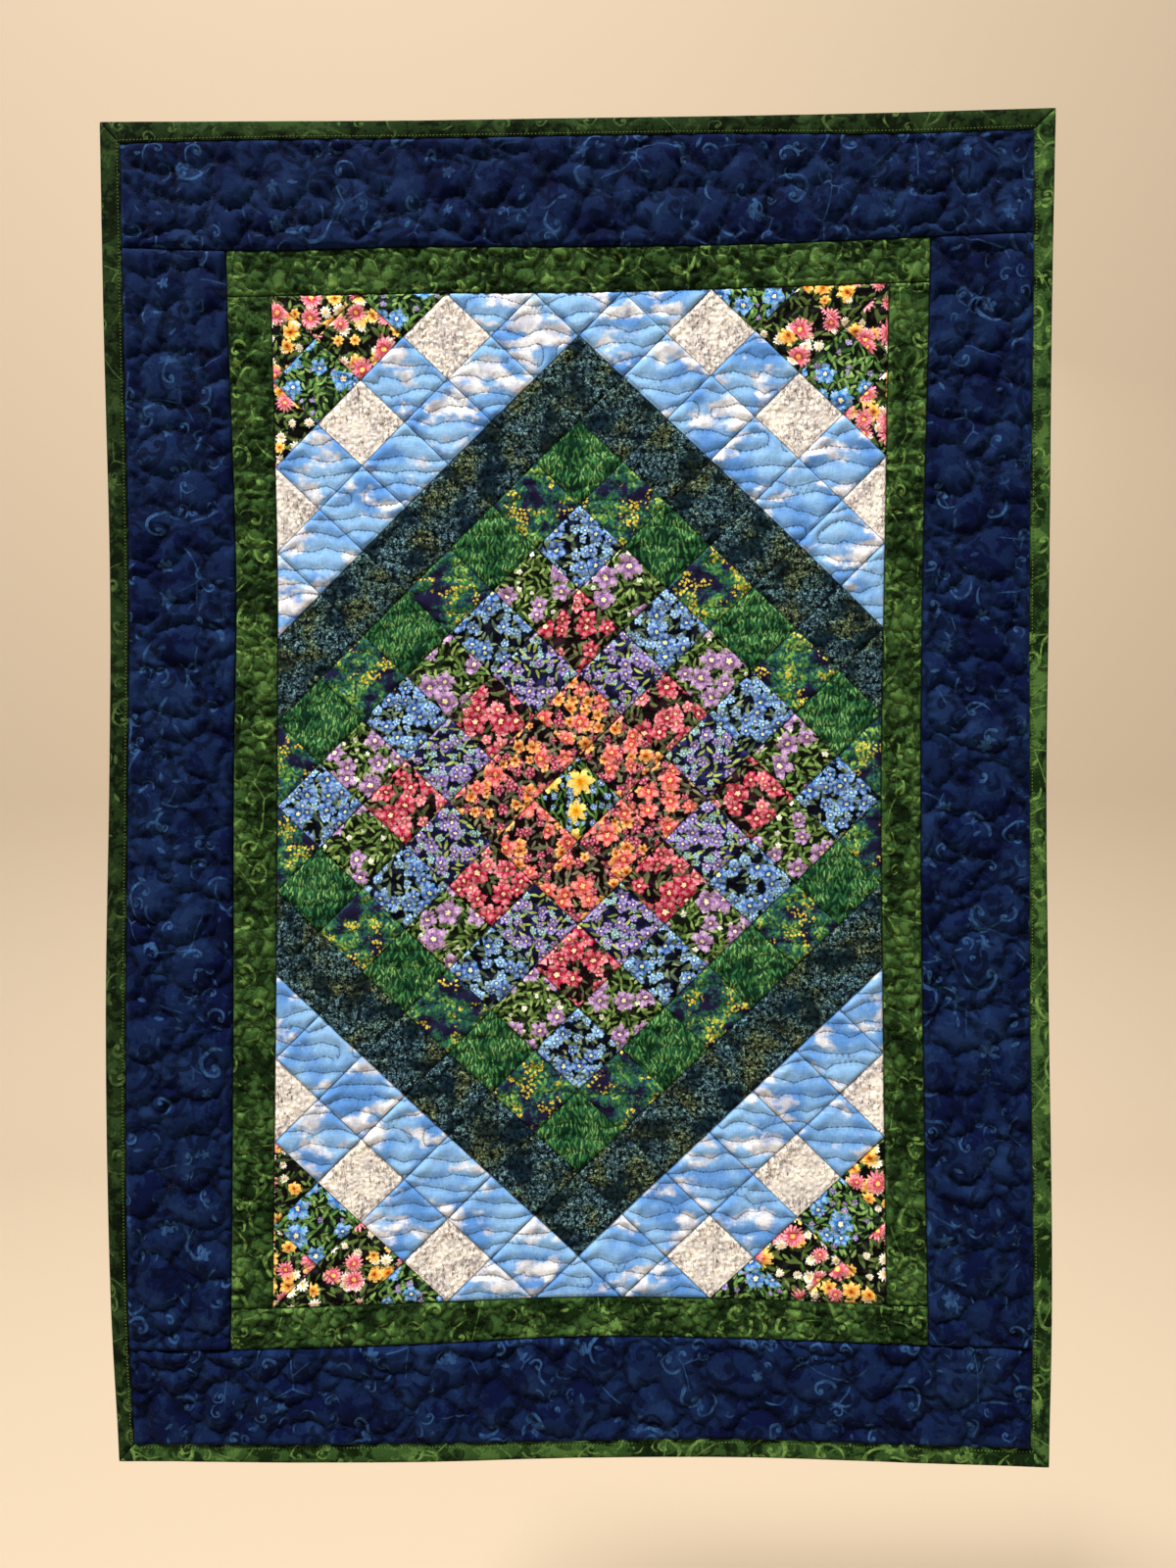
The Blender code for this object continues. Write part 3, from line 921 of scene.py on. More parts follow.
class Cloth:
    """A cloth material, drawn on its print map in millimetres."""

    def __init__(self, name, ground):
        self.material, self.shader = new_material(name)
        self.colour = ground
        spot = self.add("ShaderNodeUVMap", uv_map="print").outputs[0]
        self.place = self.vector("SCALE", {0: spot, "Scale": 1 / MM})

    def add(self, kind, inputs=None, **settings):
        """A new node of this material."""
        return add(self.material.node_tree, kind, inputs, **settings)

    def vector(self, operation, inputs):
        """The result of one Vector Math node."""
        return self.add("ShaderNodeVectorMath", inputs, operation=operation).outputs[0]

    def parts(self, vector, kind):
        """The three numbers of a vector, of kind XYZ, or of a colour, of kind Color."""
        node = self.add("ShaderNodeSeparate" + kind, {0: vector})
        return [Tone(socket) for socket in node.outputs[:3]]

    def spot(self, seed, stretch, warp):
        """The place on the print, moved by the seed, stretched, and pushed about by warp."""
        place = self.add("ShaderNodeMapping", {
            "Vector": self.place, "Location": (seed * 37.7, seed * 91.3, 0),
            "Scale": (1 / stretch[0], 1 / stretch[1], 1)}).outputs[0]
        if not warp:
            return place
        bend = self.add(
            "ShaderNodeTexNoise", {"Vector": place, "Scale": 1 / (warp * 6), "Detail": 1},
            noise_dimensions="2D").outputs["Color"]
        return self.vector("MULTIPLY_ADD", {0: bend, 1: (2 * warp, 2 * warp, 0), 2: place})

    def noise(self, size, detail=3, rough=0.5, *, seed, stretch=(1, 1), warp=0.0):
        """Mottling from 0 to 1, in patches of about the given size."""
        return Tone(self.add("ShaderNodeTexNoise", {
            "Vector": self.spot(seed, stretch, warp), "Scale": 1 / size, "Detail": detail,
            "Roughness": rough}, noise_dimensions="2D").outputs["Fac"])

    def patches(self, size, seed, low, high):
        """1 over part of the cloth and 0 over the rest. A higher low leaves less of it."""
        return self.noise(size, 1, seed=seed).rise(low, high)

    def motifs(self, size, scatter, seed, stretch=(1, 1), warp=0.0):
        """Places for motifs, about the given size apart."""
        return Motifs(self, size, scatter, seed, stretch, warp)

    def web(self, size, seed, warp, width):
        """Thin winding lines that part the cloth into cells, like stems."""
        edge = self.add(
            "ShaderNodeTexVoronoi", {"Vector": self.spot(seed, (1, 1), warp), "Scale": 1 / size},
            voronoi_dimensions="2D", feature="DISTANCE_TO_EDGE").outputs["Distance"]
        return (Tone(edge) * size - width).rise(STEM_BLUR, -STEM_BLUR)

    def measured(self, name):
        """A number stored on the mesh."""
        return Tone(self.add("ShaderNodeAttribute", attribute_name=name).outputs["Fac"])

    def blend(self, share, a, b):
        """Colour a turning into colour b as the share goes from 0 to 1."""
        a, b = (linear(c) if isinstance(c, (tuple, list)) else c for c in (a, b))
        return self.add("ShaderNodeMix", {0: share, 6: a, 7: b}, data_type="RGBA").outputs[2]

    def paint(self, share, colour):
        """Lay a colour over the cloth as the share goes from 0 to 1."""
        self.colour = self.blend(share, self.colour, colour)

    def finish(self, hollow_shade=0.15, mark=1.0, extra_height=0.0):
        """Weave, needle marks and painted shade over the print, and the finished material.

        The seams are darker, partly as their own dark line and partly as painted shade in their
        ditch; the hollows between the puffs and the creases by the stitched lines get painted
        shade.
        hollow_shade is how much painted shade darkens the cloth between its puffs, and mark how
        strong the stitched lines and their painted crease shade are.
        """
        x, y, _ = self.parts(self.place, "XYZ")
        weave = (x * (TURN / THREAD_PITCH)).math("SINE") * (y * (TURN / THREAD_PITCH)).math("SINE")
        slubs = self.noise(0.8, 2, 0.6, seed=93, stretch=(1, 9))
        slubs = slubs + self.noise(0.8, 2, 0.6, seed=94, stretch=(9, 1)) - 1.0
        # Darker by the seams and the binding's edges: the seam's own dark line, with painted shade
        # in its ditch.
        seam = (self.measured("seam") / MM).rise(0.15, 0.85)
        close = self.measured("near").rise(0.6, 0.85) * mark
        off = abs(self.measured("off") / MM)
        # crease: painted shade down the valley of each stitched line; it also deepens the bump
        # below.
        crease = off.rise(1.1, 0.0) * close
        line = off.rise(0.55, 0.15) * close
        beat = (self.measured("run") * TURN).math("COSINE").rise(-0.3, 0.8)
        fleck = self.noise(0.9, 2, 0.6, seed=91)
        # Painted shade: the cloth is darker where the puff is low, in the hollows between the
        # puffs.
        full = self.measured("rise").rise(0.0, 0.9)
        shade = (seam * 0.68 + 0.32) * (full * hollow_shade + (1 - hollow_shade))
        shade = shade * (1 - line * (beat * 0.35 + 0.2)) * (1 - crease * 0.15)
        shade = shade * (fleck * 0.3 + 0.85) * (weave * 0.03 + slubs * 0.35 + 1.0)

        crumple = self.noise(4.5, 3, 0.55, seed=92)
        draw = self.noise(3.2, 2, seed=95, stretch=(1, 4))
        height = weave * 0.012 + slubs * 0.06 + crumple * 0.25 + draw * 0.25
        height = height - crease * 0.28 - line * beat * 0.2 + extra_height
        bump = self.add("ShaderNodeBump", {"Strength": 1.0, "Distance": MM, "Height": height})
        fill(self.shader, {
            "Base Color": self.vector("SCALE", {0: self.colour, "Scale": shade}),
            "Normal": bump.outputs[0],
            "Roughness": 0.92,
            "Specular IOR Level": 0.04,
            "Sheen Weight": 0.015,
            "Sheen Roughness": 0.4,
        })
        return self.material


# --- The prints ---

def scroll_print(name, deep, middle, pale, line, mottle, grain, bare, hollow_shade, mark):
    """Tone-on-tone mottled print with fern-like curls, stems, leaves and small flowers.

    mottle is the size of its blotches, grain how sponged their edges are, and bare how much of
    the cloth has no curls, with 0.5 for half of it.
    """
    cloth = Cloth(name, deep)
    wash = cloth.noise(mottle * 3.2, 3, 0.55, seed=1) * 0.45
    wash = wash + cloth.noise(mottle, 6, 0.62, seed=2, warp=2) * 0.55
    wash = wash + (cloth.noise(2.4, 4, 0.75, seed=3) - 0.5) * grain
    cloth.paint(wash.rise(0.43, 0.48), middle)
    cloth.paint(wash.rise(0.545, 0.585) * 0.6, pale)
    brushed = cloth.noise(1.3, 3, 0.7, seed=20, stretch=(1, 2.4)).rise(0.36, 0.58) * 0.5 + 0.5

    shadow = cloth.motifs(13, 0.9, seed=6, warp=1)
    under = highest(
        cloth.motifs(34, 0.7, seed=4, warp=3).curl(16, 2.0, 2.1),
        cloth.motifs(21, 0.7, seed=5, warp=2).curl(9.5, 2.0, 1.5),
        shadow.leaf(5, 1.6)[0] * shadow.shown(0.22))
    under = under * cloth.patches(34, 7, 0.38, 0.43) * (brushed * 0.4 + 0.6)
    cloth.paint(under * 0.75, [c * 0.6 for c in deep])

    stems = cloth.web(38, seed=14, warp=11, width=0.45)
    sprig = cloth.motifs(12, 0.9, seed=16)
    bud = cloth.motifs(27, 0.9, seed=18, warp=2)
    ink = [
        stems * cloth.patches(34, 15, bare + 0.03, bare + 0.08) * 0.7,
        sprig.leaf(3.4, 1.2)[0] * sprig.shown(0.3) * cloth.patches(30, 17, 0.5, 0.56) * 0.8,
        bud.bloom(5, 4.6, 0.55)[0] * bud.shown(0.2) * 0.8,
    ]
    for seed, gap, scatter, warp, curl, patch, low, strength in (
        (8, 38, 0.7, 4, (16, 2.2, 1.15), 50, bare, 1.0),
        (9, 25, 0.8, 3, (11, 2.2, 0.95), 42, bare + 0.02, 1.0),
        (10, 15, 0.8, 1, (6.5, 2.0, 0.7), 36, bare + 0.04, 0.85),
    ):
        curls = cloth.motifs(gap, scatter, seed=seed, warp=warp).curl(*curl)
        ink.append(curls * cloth.patches(patch, seed + 3, low, low + 0.04) * strength)
    worn = cloth.noise(9, 3, 0.6, seed=19).rise(0.36, 0.6) * 0.6 + 0.4
    cloth.paint(highest(*ink) * worn * brushed, line)
    return cloth.finish(hollow_shade, mark)


def floral_print(name, ground, leaves, blooms):
    """Flowers over leaves over a dark ground.

    A leaf layer has its spacing, length, width, two colours and share of places, and may have
    the range of its lean and its least lean. A bloom layer has its spacing, petals, radius,
    notch, inner and outer colours, heart colour and share of places.
    """
    cloth = Cloth(name, ground)
    cloth.paint(cloth.noise(9, 3, 0.6, seed=20).rise(0.5, 0.66), [c * 2 + 12 for c in ground])
    for layer, (gap, length, width, dark, light, share, *lean) in enumerate(leaves):
        spots = cloth.motifs(gap, 0.95, seed=30 + layer, warp=0.9)
        shape, across = spots.leaf(length, width, *lean)
        tint = cloth.blend(spots.shade, dark, light)
        tint = cloth.blend(across.rise(0.35, 0.0) * 0.5, tint, light)
        cloth.paint(shape * spots.shown(share), tint)
    for layer, (gap, petals, radius, notch, inner, outer, heart, share) in enumerate(blooms):
        spots = cloth.motifs(gap, 0.78, seed=40 + layer, warp=0.8)
        shape, depth, lobe = spots.bloom(petals, radius, notch)
        streaks = cloth.noise(1.5, 3, 0.65, seed=50 + layer)
        glow = lobe.rise(0.55, 1.0) * depth.rise(0.3, 0.62) * depth.rise(1.05, 0.75)
        tint = cloth.blend(depth.rise(0.15, 0.75), inner, outer)
        tint = cloth.blend(lobe.rise(0.5, 0.0) * 0.55, tint, inner)
        tint = cloth.blend(streaks.rise(0.6, 0.38) * 0.6, tint, inner)
        tint = cloth.blend(glow * 0.22 + streaks.rise(0.58, 0.7) * 0.18, tint, PETAL_GLOW)
        tint = cloth.blend(depth.rise(0.27, 0.16), tint, heart)
        cloth.paint(shape * spots.shown(share), tint)
    return cloth.finish(mark=0.4)


def sky_print():
    """Summer sky: soft cream and warm grey clouds on blue."""
    cloth = Cloth("sky_print", (84, 134, 198))
    cloth.paint(cloth.noise(30, seed=1).rise(0.34, 0.66), (132, 176, 220))
    bank = cloth.noise(24, seed=2, stretch=(1.7, 1), warp=3) * 0.62
    puff = cloth.noise(9, 4, 0.55, seed=3, stretch=(1.5, 1)) * 0.38 + bank
    cloud = cloth.blend(cloth.noise(14, seed=4).rise(0.42, 0.6), (230, 231, 234), (190, 190, 198))
    cloth.paint(puff.rise(0.505, 0.615) * 0.92, cloud)
    return cloth.finish(mark=0.65)


def birch_print():
    """Pale bark: cream with hatched grey patches, a few brown twigs and small bumps."""
    cloth = Cloth("birch_print", (246, 238, 226))
    cloth.paint(cloth.noise(14, seed=1).rise(0.4, 0.6), (226, 219, 213))
    patch = cloth.noise(24, 4, 0.62, seed=7).rise(0.44, 0.56)
    soft = cloth.noise(2.8, 3, 0.6, seed=9, stretch=(1, 1.5)).rise(0.46, 0.64)
    cloth.paint(soft * (patch * 0.6 + 0.2), (160, 154, 157))
    hatch = cloth.noise(1.4, 3, 0.68, seed=5, stretch=(1, 1.9)).rise(0.55, 0.62)
    cloth.paint(hatch * patch * 0.65, (88, 82, 92))
    streak = abs(cloth.noise(13, 2, seed=2, stretch=(0.45, 2.2), warp=1) - 0.5)
    twigs = streak.rise(0.02, 0.008) * cloth.noise(17, 2, seed=3).rise(0.46, 0.52)
    twigs = twigs * cloth.noise(2.2, 2, 0.6, seed=10).rise(0.4, 0.52)
    cloth.paint(twigs * 0.85, (104, 74, 68))
    bumps = (cloth.motifs(3.8, 1.0, seed=8, warp=1.2).radius / 2.2).rise(1.0, 0.1) * 0.35
    return cloth.finish(hollow_shade=0.1, mark=0.3, extra_height=bumps)


def spruce_print():
    """Dark forest: dabs of teal, moss and grey-green on near black."""
    cloth = Cloth("spruce_print", (4, 12, 21))
    stand = cloth.noise(20, 4, 0.6, seed=1)
    hue = cloth.noise(26, 3, 0.55, seed=4)
    shade = cloth.blend(hue.rise(0.38, 0.5), (26, 56, 74), (30, 58, 58))
    shade = cloth.blend(hue.rise(0.54, 0.64), shade, (46, 60, 42))
    dabs = cloth.noise(3.0, 4, 0.72, seed=2)
    cover = stand.rise(0.36, 0.6) * 0.65 + 0.35
    cloth.paint(dabs.rise(0.43, 0.54) * cover, shade)
    light = cloth.blend(hue.rise(0.46, 0.62), (136, 172, 172), (152, 166, 120))
    for seed, size, strength in ((3, 2.0, 0.7), (5, 1.4, 0.6)):
        specks = cloth.noise(size, 3, 0.72, seed=seed).rise(0.55, 0.62) * stand.rise(0.36, 0.56)
        cloth.paint(specks * dabs.rise(0.42, 0.54) * strength, light)
    return cloth.finish(hollow_shade=0.1, mark=0.5)


def dab(cloth, dabs, where, lean, start, slim=0.24, stretch=(1, 1)):
    """Layers of leaf-shaped dabs. A dab has its seed, spacing, two colours and least depth."""
    for seed, gap, dark, light, low in dabs:
        spots = cloth.motifs(gap, 1.0, seed=seed, stretch=stretch, warp=1.5)
        shape, _ = spots.leaf(gap * 0.66, gap * slim, lean, start, DAB_BLUR)
        here = shape * spots.shown(0.85) * where.rise(low, low + 0.08)
        cloth.paint(here, cloth.blend(spots.shade, dark, light))


def shrub_print():
    """Undergrowth: purple shade, blue-green bushes, bright leaves and clusters of yellow."""
    cloth = Cloth("shrub_print", (24, 22, 50))
    depth = cloth.noise(18, 4, 0.6, seed=1)
    cloth.paint(depth.rise(0.40, 0.52), (20, 58, 58))
    haze = cloth.noise(2.2, 4, 0.72, seed=8).rise(0.46, 0.62) * depth.rise(0.38, 0.48)
    cloth.paint(haze * 0.55, (54, 106, 108))
    dab(cloth, (
        (2, 4.6, (26, 68, 46), (50, 106, 64), 0.42),
        (3, 3.6, (44, 98, 50), (96, 148, 74), 0.46),
        (4, 2.9, (92, 140, 62), (160, 186, 84), 0.53),
    ), depth, 2.6, 0.3)
    dots = cloth.motifs(2.3, 1.0, seed=5, warp=0.6)
    bloom = (dots.radius - 0.85).rise(0.3, -0.3) * dots.shown(0.8)
    bloom = bloom * cloth.noise(17, 3, 0.6, seed=6).rise(0.55, 0.6)
    cloth.paint(bloom, cloth.blend(dots.shade, (168, 150, 36), (230, 208, 84)))
    return cloth.finish(mark=0.5)


def grass_print():
    """Meadow grass: leaning brush strokes of green."""
    cloth = Cloth("grass_print", (10, 38, 24))
    bed = cloth.noise(16, seed=1)
    cloth.paint(bed.rise(0.35, 0.65), (26, 68, 42))
    dab(cloth, (
        (2, 5.0, (18, 58, 38), (42, 96, 56), 0.0),
        (3, 3.8, (32, 84, 48), (74, 130, 66), 0.3),
        (4, 2.8, (64, 116, 60), (138, 176, 102), 0.44),
    ), bed, 2.2, 0.5, slim=0.17, stretch=(0.8, 1.3))
    return cloth.finish(mark=0.5)


PETAL_GLOW = (250, 244, 236)
FLORALS = {
    "lilac": (
        (12, 17, 9),
        ((6.2, 4.4, 1.3, (34, 60, 26), (92, 124, 60), 1.0),
         (4.4, 3.0, 0.9, (66, 98, 44), (148, 172, 100), 0.85)),
        ((7.5, 5, 1.7, 0.3, (206, 214, 186), (240, 242, 228), (226, 220, 150), 0.3),
         (15.5, 5, 7.4, 0.36, (98, 58, 120), (184, 142, 194), (242, 232, 176), 0.7)),
    ),
    "hibiscus": (
        (10, 18, 12),
        ((6.2, 4.4, 1.3, (30, 64, 30), (86, 126, 64), 1.0),
         (4.4, 3.0, 0.9, (60, 102, 46), (138, 172, 98), 0.85)),
        ((7.0, 5, 1.9, 0.3, (84, 64, 146), (154, 134, 202), (226, 220, 150), 0.35),
         (15.0, 5, 7.2, 0.32, (12, 66, 152), (98, 174, 230), (236, 232, 180), 0.75)),
    ),
    "posy": (
        (8, 8, 8),
        ((8.0, 6.0, 1.3, (30, 48, 22), (84, 102, 54), 1.0),
         (5.0, 3.6, 0.9, (48, 74, 32), (112, 136, 72), 0.6)),
        ((9.0, 10, 3.6, 0.4, (226, 210, 170), (253, 251, 243), (240, 190, 60), 0.45),
         (12.0, 7, 5.2, 0.3, (214, 120, 22), (250, 210, 88), (140, 66, 24), 0.5),
         (15.0, 14, 7.2, 0.42, (182, 28, 62), (242, 138, 156), (250, 206, 110), 0.5)),
    ),
    "daffodil": (
        (6, 9, 6),
        ((9.0, 13.0, 0.9, (28, 60, 28), (70, 112, 52), 1.0, 1.2, 1.0),
         (7.0, 9.0, 0.7, (52, 92, 42), (120, 160, 84), 0.9, 1.6, 0.8)),
        ((5.0, 4, 2.0, 0.25, (30, 66, 146), (122, 168, 220), (224, 234, 244), 0.5),
         (18.0, 6, 9.0, 0.45, (220, 156, 24), (250, 224, 96), (206, 118, 14), 0.65)),
    ),
    "forget_me_not": (
        (4, 6, 16),
        ((8.0, 5.0, 1.3, (34, 52, 46), (96, 118, 92), 1.0),
         (4.6, 3.2, 0.9, (70, 92, 72), (142, 158, 120), 0.5)),
        ((7.0, 5, 3.5, 0.32, (28, 80, 160), (140, 198, 232), (226, 232, 190), 0.65),
         (10.5, 5, 5.4, 0.32, (8, 36, 118), (76, 138, 206), (206, 218, 150), 0.75)),
    ),
    "violet": (
        (16, 16, 44),
        ((5.5, 3.6, 0.95, (84, 110, 54), (172, 186, 100), 1.0),),
        ((5.5, 5, 2.4, 0.3, (46, 100, 128), (142, 196, 198), (236, 236, 190), 0.5),
         (7.6, 5, 3.9, 0.32, (62, 42, 128), (152, 132, 206), (236, 226, 160), 0.65)),
    ),
    "crimson": (
        (16, 5, 9),
        ((8.0, 6.0, 1.3, (36, 48, 28), (96, 106, 66), 0.9),
         (5.0, 3.4, 0.9, (60, 70, 44), (124, 126, 86), 0.5)),
        ((10.0, 5, 5.0, 0.34, (178, 34, 72), (242, 148, 160), (250, 222, 160), 0.5),
         (13.0, 5, 7.0, 0.34, (112, 4, 34), (212, 50, 86), (248, 206, 160), 0.7)),
    ),
    "coral": (
        (14, 5, 7),
        ((7.5, 6.0, 1.2, (50, 50, 42), (112, 112, 90), 1.0),
         (4.8, 3.4, 0.9, (66, 70, 52), (134, 132, 100), 0.6)),
        ((7.0, 5, 3.3, 0.36, (98, 10, 50), (190, 50, 98), (232, 150, 140), 0.55),
         (9.0, 5, 4.2, 0.36, (196, 92, 24), (246, 182, 88), (120, 50, 30), 0.45),
         (13.0, 5, 6.8, 0.46, (178, 32, 50), (246, 122, 112), (250, 196, 120), 0.45)),
    ),
}
MAKERS = {
    "sky": sky_print, "birch": birch_print, "spruce": spruce_print,
    "shrub": shrub_print, "grass": grass_print}


def backing_cloth():
    """Plain unbleached cotton on the back."""
    cloth = Cloth("backing_cotton", (196, 186, 166))
    cloth.paint(cloth.noise(60, seed=1), (212, 203, 184))
    return cloth.finish(mark=0.45)


def thread(name, colour):
    """Sewing thread: finely mottled and a little glossy."""
    material, shader = new_material(name + "_thread")
    tree = material.node_tree
    place = add(tree, "ShaderNodeTexCoord").outputs["Object"]
    fibres = add(tree, "ShaderNodeTexNoise", {"Vector": place, "Scale": 900, "Detail": 1})
    shades = {0: fibres.outputs["Fac"], 6: linear([c * 0.72 for c in colour]), 7: linear(colour)}
    mix = add(tree, "ShaderNodeMix", shades, data_type="RGBA")
    fill(shader, {
        "Base Color": mix.outputs[2], "Roughness": 0.6, "Specular IOR Level": 0.12,
        "Sheen Weight": 0.02})
    return material


# --- Stitches ---

def stitch_tree():
    """Geometry nodes that lay a stitch at every pitch along the lines."""
    tree = bpy.data.node_groups.new("Machine stitches", "GeometryNodeTree")
    for name, direction, kind in (
        ("Lines", "INPUT", "Geometry"),
        ("Pitch", "INPUT", "Float"),
        ("Stitch length", "INPUT", "Float"),
        ("Thread width", "INPUT", "Float"),
        ("Unevenness", "INPUT", "Float"),
        ("Seed", "INPUT", "Int"),
        ("Thread", "INPUT", "Material"),
        ("Stitches", "OUTPUT", "Geometry"),
    ):
        tree.interface.new_socket(name, in_out=direction, socket_type="NodeSocket" + kind)
    given = add(tree, "NodeGroupInput").outputs
    points = add(
        tree, "GeometryNodeCurveToPoints", {"Curve": given["Lines"], "Length": given["Pitch"]},
        mode="LENGTH").outputs
    bead = add(tree, "GeometryNodeMeshUVSphere", {"Segments": 4, "Rings": 3, "Radius": 0.5})
    width = given["Thread width"]
    size = add(tree, "ShaderNodeCombineXYZ", {0: width, 1: width, 2: given["Stitch length"]})
    facing = add(
        tree, "FunctionNodeAlignRotationToVector", {"Vector": points["Tangent"]}, axis="Z")
    laid = add(tree, "GeometryNodeInstanceOnPoints", {
        "Points": points["Points"], "Instance": bead.outputs["Mesh"],
        "Rotation": facing.outputs[0], "Scale": size.outputs[0]})
    least, most = (
        add(tree, "ShaderNodeVectorMath", {0: (way, way, way), "Scale": given["Unevenness"]},
            operation="SCALE").outputs[0] for way in (-1, 1))
    tilt = add(
        tree, "FunctionNodeRandomValue", {"Min": least, "Max": most, "Seed": given["Seed"]},
        data_type="FLOAT_VECTOR")
    turned = add(tree, "GeometryNodeRotateInstances", {
        "Instances": laid.outputs[0], "Rotation": tilt.outputs["Value"]})
    real = add(tree, "GeometryNodeRealizeInstances", {"Geometry": turned.outputs[0]})
    smoothed = add(tree, "GeometryNodeSetShadeSmooth", {"Geometry": real.outputs[0]})
    dyed = add(tree, "GeometryNodeSetMaterial", {
        "Geometry": smoothed.outputs[0], "Material": given["Thread"]})
    add(tree, "NodeGroupOutput", {"Stitches": dyed.outputs[0]})
    return tree


# Each kind of stitch's thread width and length.
QUILTING_STITCH = (0.36 * MM, 1.45 * MM)
TOPSTITCH = (0.75 * MM, 1.3 * MM)
THREAD_LIFT = 0.2           # share of the thread's width that it lies above the cloth
UNEVENNESS = 0.07           # the most that a stitch is turned, in radians
IN_FRONT = -0.1             # a place clear in front of the quilt


def surface_of(kind):
    """A tree to drop points onto the faces of the panel or of a border's or binding's sides."""
    points, faces = [], []
    for node, (obj, _, _) in pieces.items():
        if node.startswith(kind):
            start = len(points)
            points += [tuple(v.co) for v in obj.data.vertices]
            faces += [[start + i for i in p.vertices] for p in obj.data.polygons]
    return BVHTree.FromPolygons(points, faces)


def sew(name, lines, cloth, tree, material, width, length):
    """Stitches along lines of the flat quilt, lying on the cloth's face."""
    curve = bpy.data.curves.new(name, "CURVE")
    curve.dimensions = "3D"
    for line in lines:
        x, z = hang(line[:, 0], line[:, 1])
        spots = []
        for a, b in zip(x, z):
            hit = cloth.ray_cast(Vector((a, IN_FRONT, b)), Vector((0, 1, 0)))[0]
            if hit is not None:
                spots.append((a, hit.y - width * THREAD_LIFT, b, 1))
        if len(spots) < 4:
            continue
        spline = curve.splines.new("POLY")
        spline.points.add(len(spots) - 1)
        spline.points.foreach_set("co", np.array(spots, np.float32).ravel())
    drawn = in_scene(name + "_lines", curve)
    modifier = drawn.modifiers.new("Stitches", "NODES")
    modifier.node_group = tree
    values = {
        "Pitch": STITCH_PITCH, "Stitch length": length, "Thread width": width,
        "Unevenness": UNEVENNESS, "Seed": 1, "Thread": material}
    for item in tree.interface.items_tree:
        if item.name in values:
            modifier[item.identifier] = values[item.name]
    ready = drawn.evaluated_get(bpy.context.evaluated_depsgraph_get())
    mesh = bpy.data.meshes.new_from_object(ready)
    mesh.name = name
    bpy.data.objects.remove(drawn)
    return in_scene(name, mesh)


# --- Room, light and camera ---

FLOOR_DROP = 1.45
BACKDROP_AWAY = 3.0
BACKDROP_HEIGHT = 5.0
ROOM_HALF = 6.0
SWEEP = 0.9
FLOOR_COLOUR = (184, 168, 146)
WALL_COLOUR = (226, 204, 174)
GLOW_COLOUR = (1.0, 0.96, 0.90, 1)
WARM = (1.0, 0.97, 0.93)
COOL = (0.95, 0.97, 1.0)
# Each lamp's name, place from the quilt's middle, size, power and colour.
LAMPS = (
    ("key", (-1.3, -2.4, 5.6), 1.1, 840, WARM),
    ("fill", (1.8, -3.6, 0.4), 2.0, 16, COOL),
    ("behind", (0.6, 2.4, 2.2), 1.6, 50, WARM),
)
LENS = 26
FILM_WIDTH = 36
CAMERA_RIGHT = 0.0196
CAMERA_ABOVE = 0.0317
CAMERA_AWAY = 0.7271
CAMERA_YAW = math.radians(1.01)
CAMERA_PITCH = math.radians(-1.763)
CAMERA_ROLL = math.radians(-0.278)


def stage():
    """A pale floor that sweeps up into a backdrop far behind the quilt."""
    sweep = [
        (BACKDROP_AWAY - SWEEP + SWEEP * math.sin(t), SWEEP - SWEEP * math.cos(t))
        for t in np.linspace(0, math.pi / 2, 13)]
    profile = [(-ROOM_HALF, 0.0), *sweep, (BACKDROP_AWAY, BACKDROP_HEIGHT)]
    points = [(x, y, z - FLOOR_DROP) for y, z in profile for x in (-ROOM_HALF, ROOM_HALF)]
    faces = [(2 * k, 2 * k + 1, 2 * k + 3, 2 * k + 2) for k in range(len(profile) - 1)]
    material, shader = new_material("floor_paint")
    fill(shader, {"Base Color": linear(FLOOR_COLOUR), "Roughness": 0.9})
    finished("floor", new_mesh("floor", points, faces), [material])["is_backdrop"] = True


def lighting(middle):
    """A soft lamp high in front, a little to the left, a weak fill and a pale room."""
    for name, offset, size, power, colour in LAMPS:
        light = bpy.data.lights.new(name, "AREA")
        light.size = size
        light.energy = power
        light.color = colour
        lamp = in_scene(name, light)
        lamp.location = middle + Vector(offset)
        lamp.rotation_euler = (-Vector(offset)).to_track_quat("-Z", "Y").to_euler()
    world = bpy.data.worlds.new("room")
    world.use_nodes = True
    tree = world.node_tree
    glow = fill(tree.nodes["Background"], {"Color": GLOW_COLOUR, "Strength": 0.15})
    wall = add(tree, "ShaderNodeBackground", {"Color": linear(WALL_COLOUR)})
    seen = add(tree, "ShaderNodeLightPath").outputs["Is Camera Ray"]
    either = add(tree, "ShaderNodeMixShader", {0: seen, 1: glow.outputs[0], 2: wall.outputs[0]})
    fill(tree.nodes["World Output"], {"Surface": either.outputs[0]})
    bpy.context.scene.world = world


def camera(middle):
    """A wide lens close in front, turned a little left and down."""
    data = bpy.data.cameras.new("camera")
    data.lens = LENS
    data.sensor_width = FILM_WIDTH
    obj = in_scene("camera", data)
    aim = Matrix.Rotation(CAMERA_YAW, 4, "Z") @ Matrix.Rotation(math.pi / 2 + CAMERA_PITCH, 4, "X")
    place = Vector((middle.x + CAMERA_RIGHT, -CAMERA_AWAY, middle.z + CAMERA_ABOVE))
    obj.matrix_world = Matrix.Translation(place) @ aim @ Matrix.Rotation(CAMERA_ROLL, 4, "Z")
    bpy.context.scene.camera = obj


# --- Putting the quilt together ---

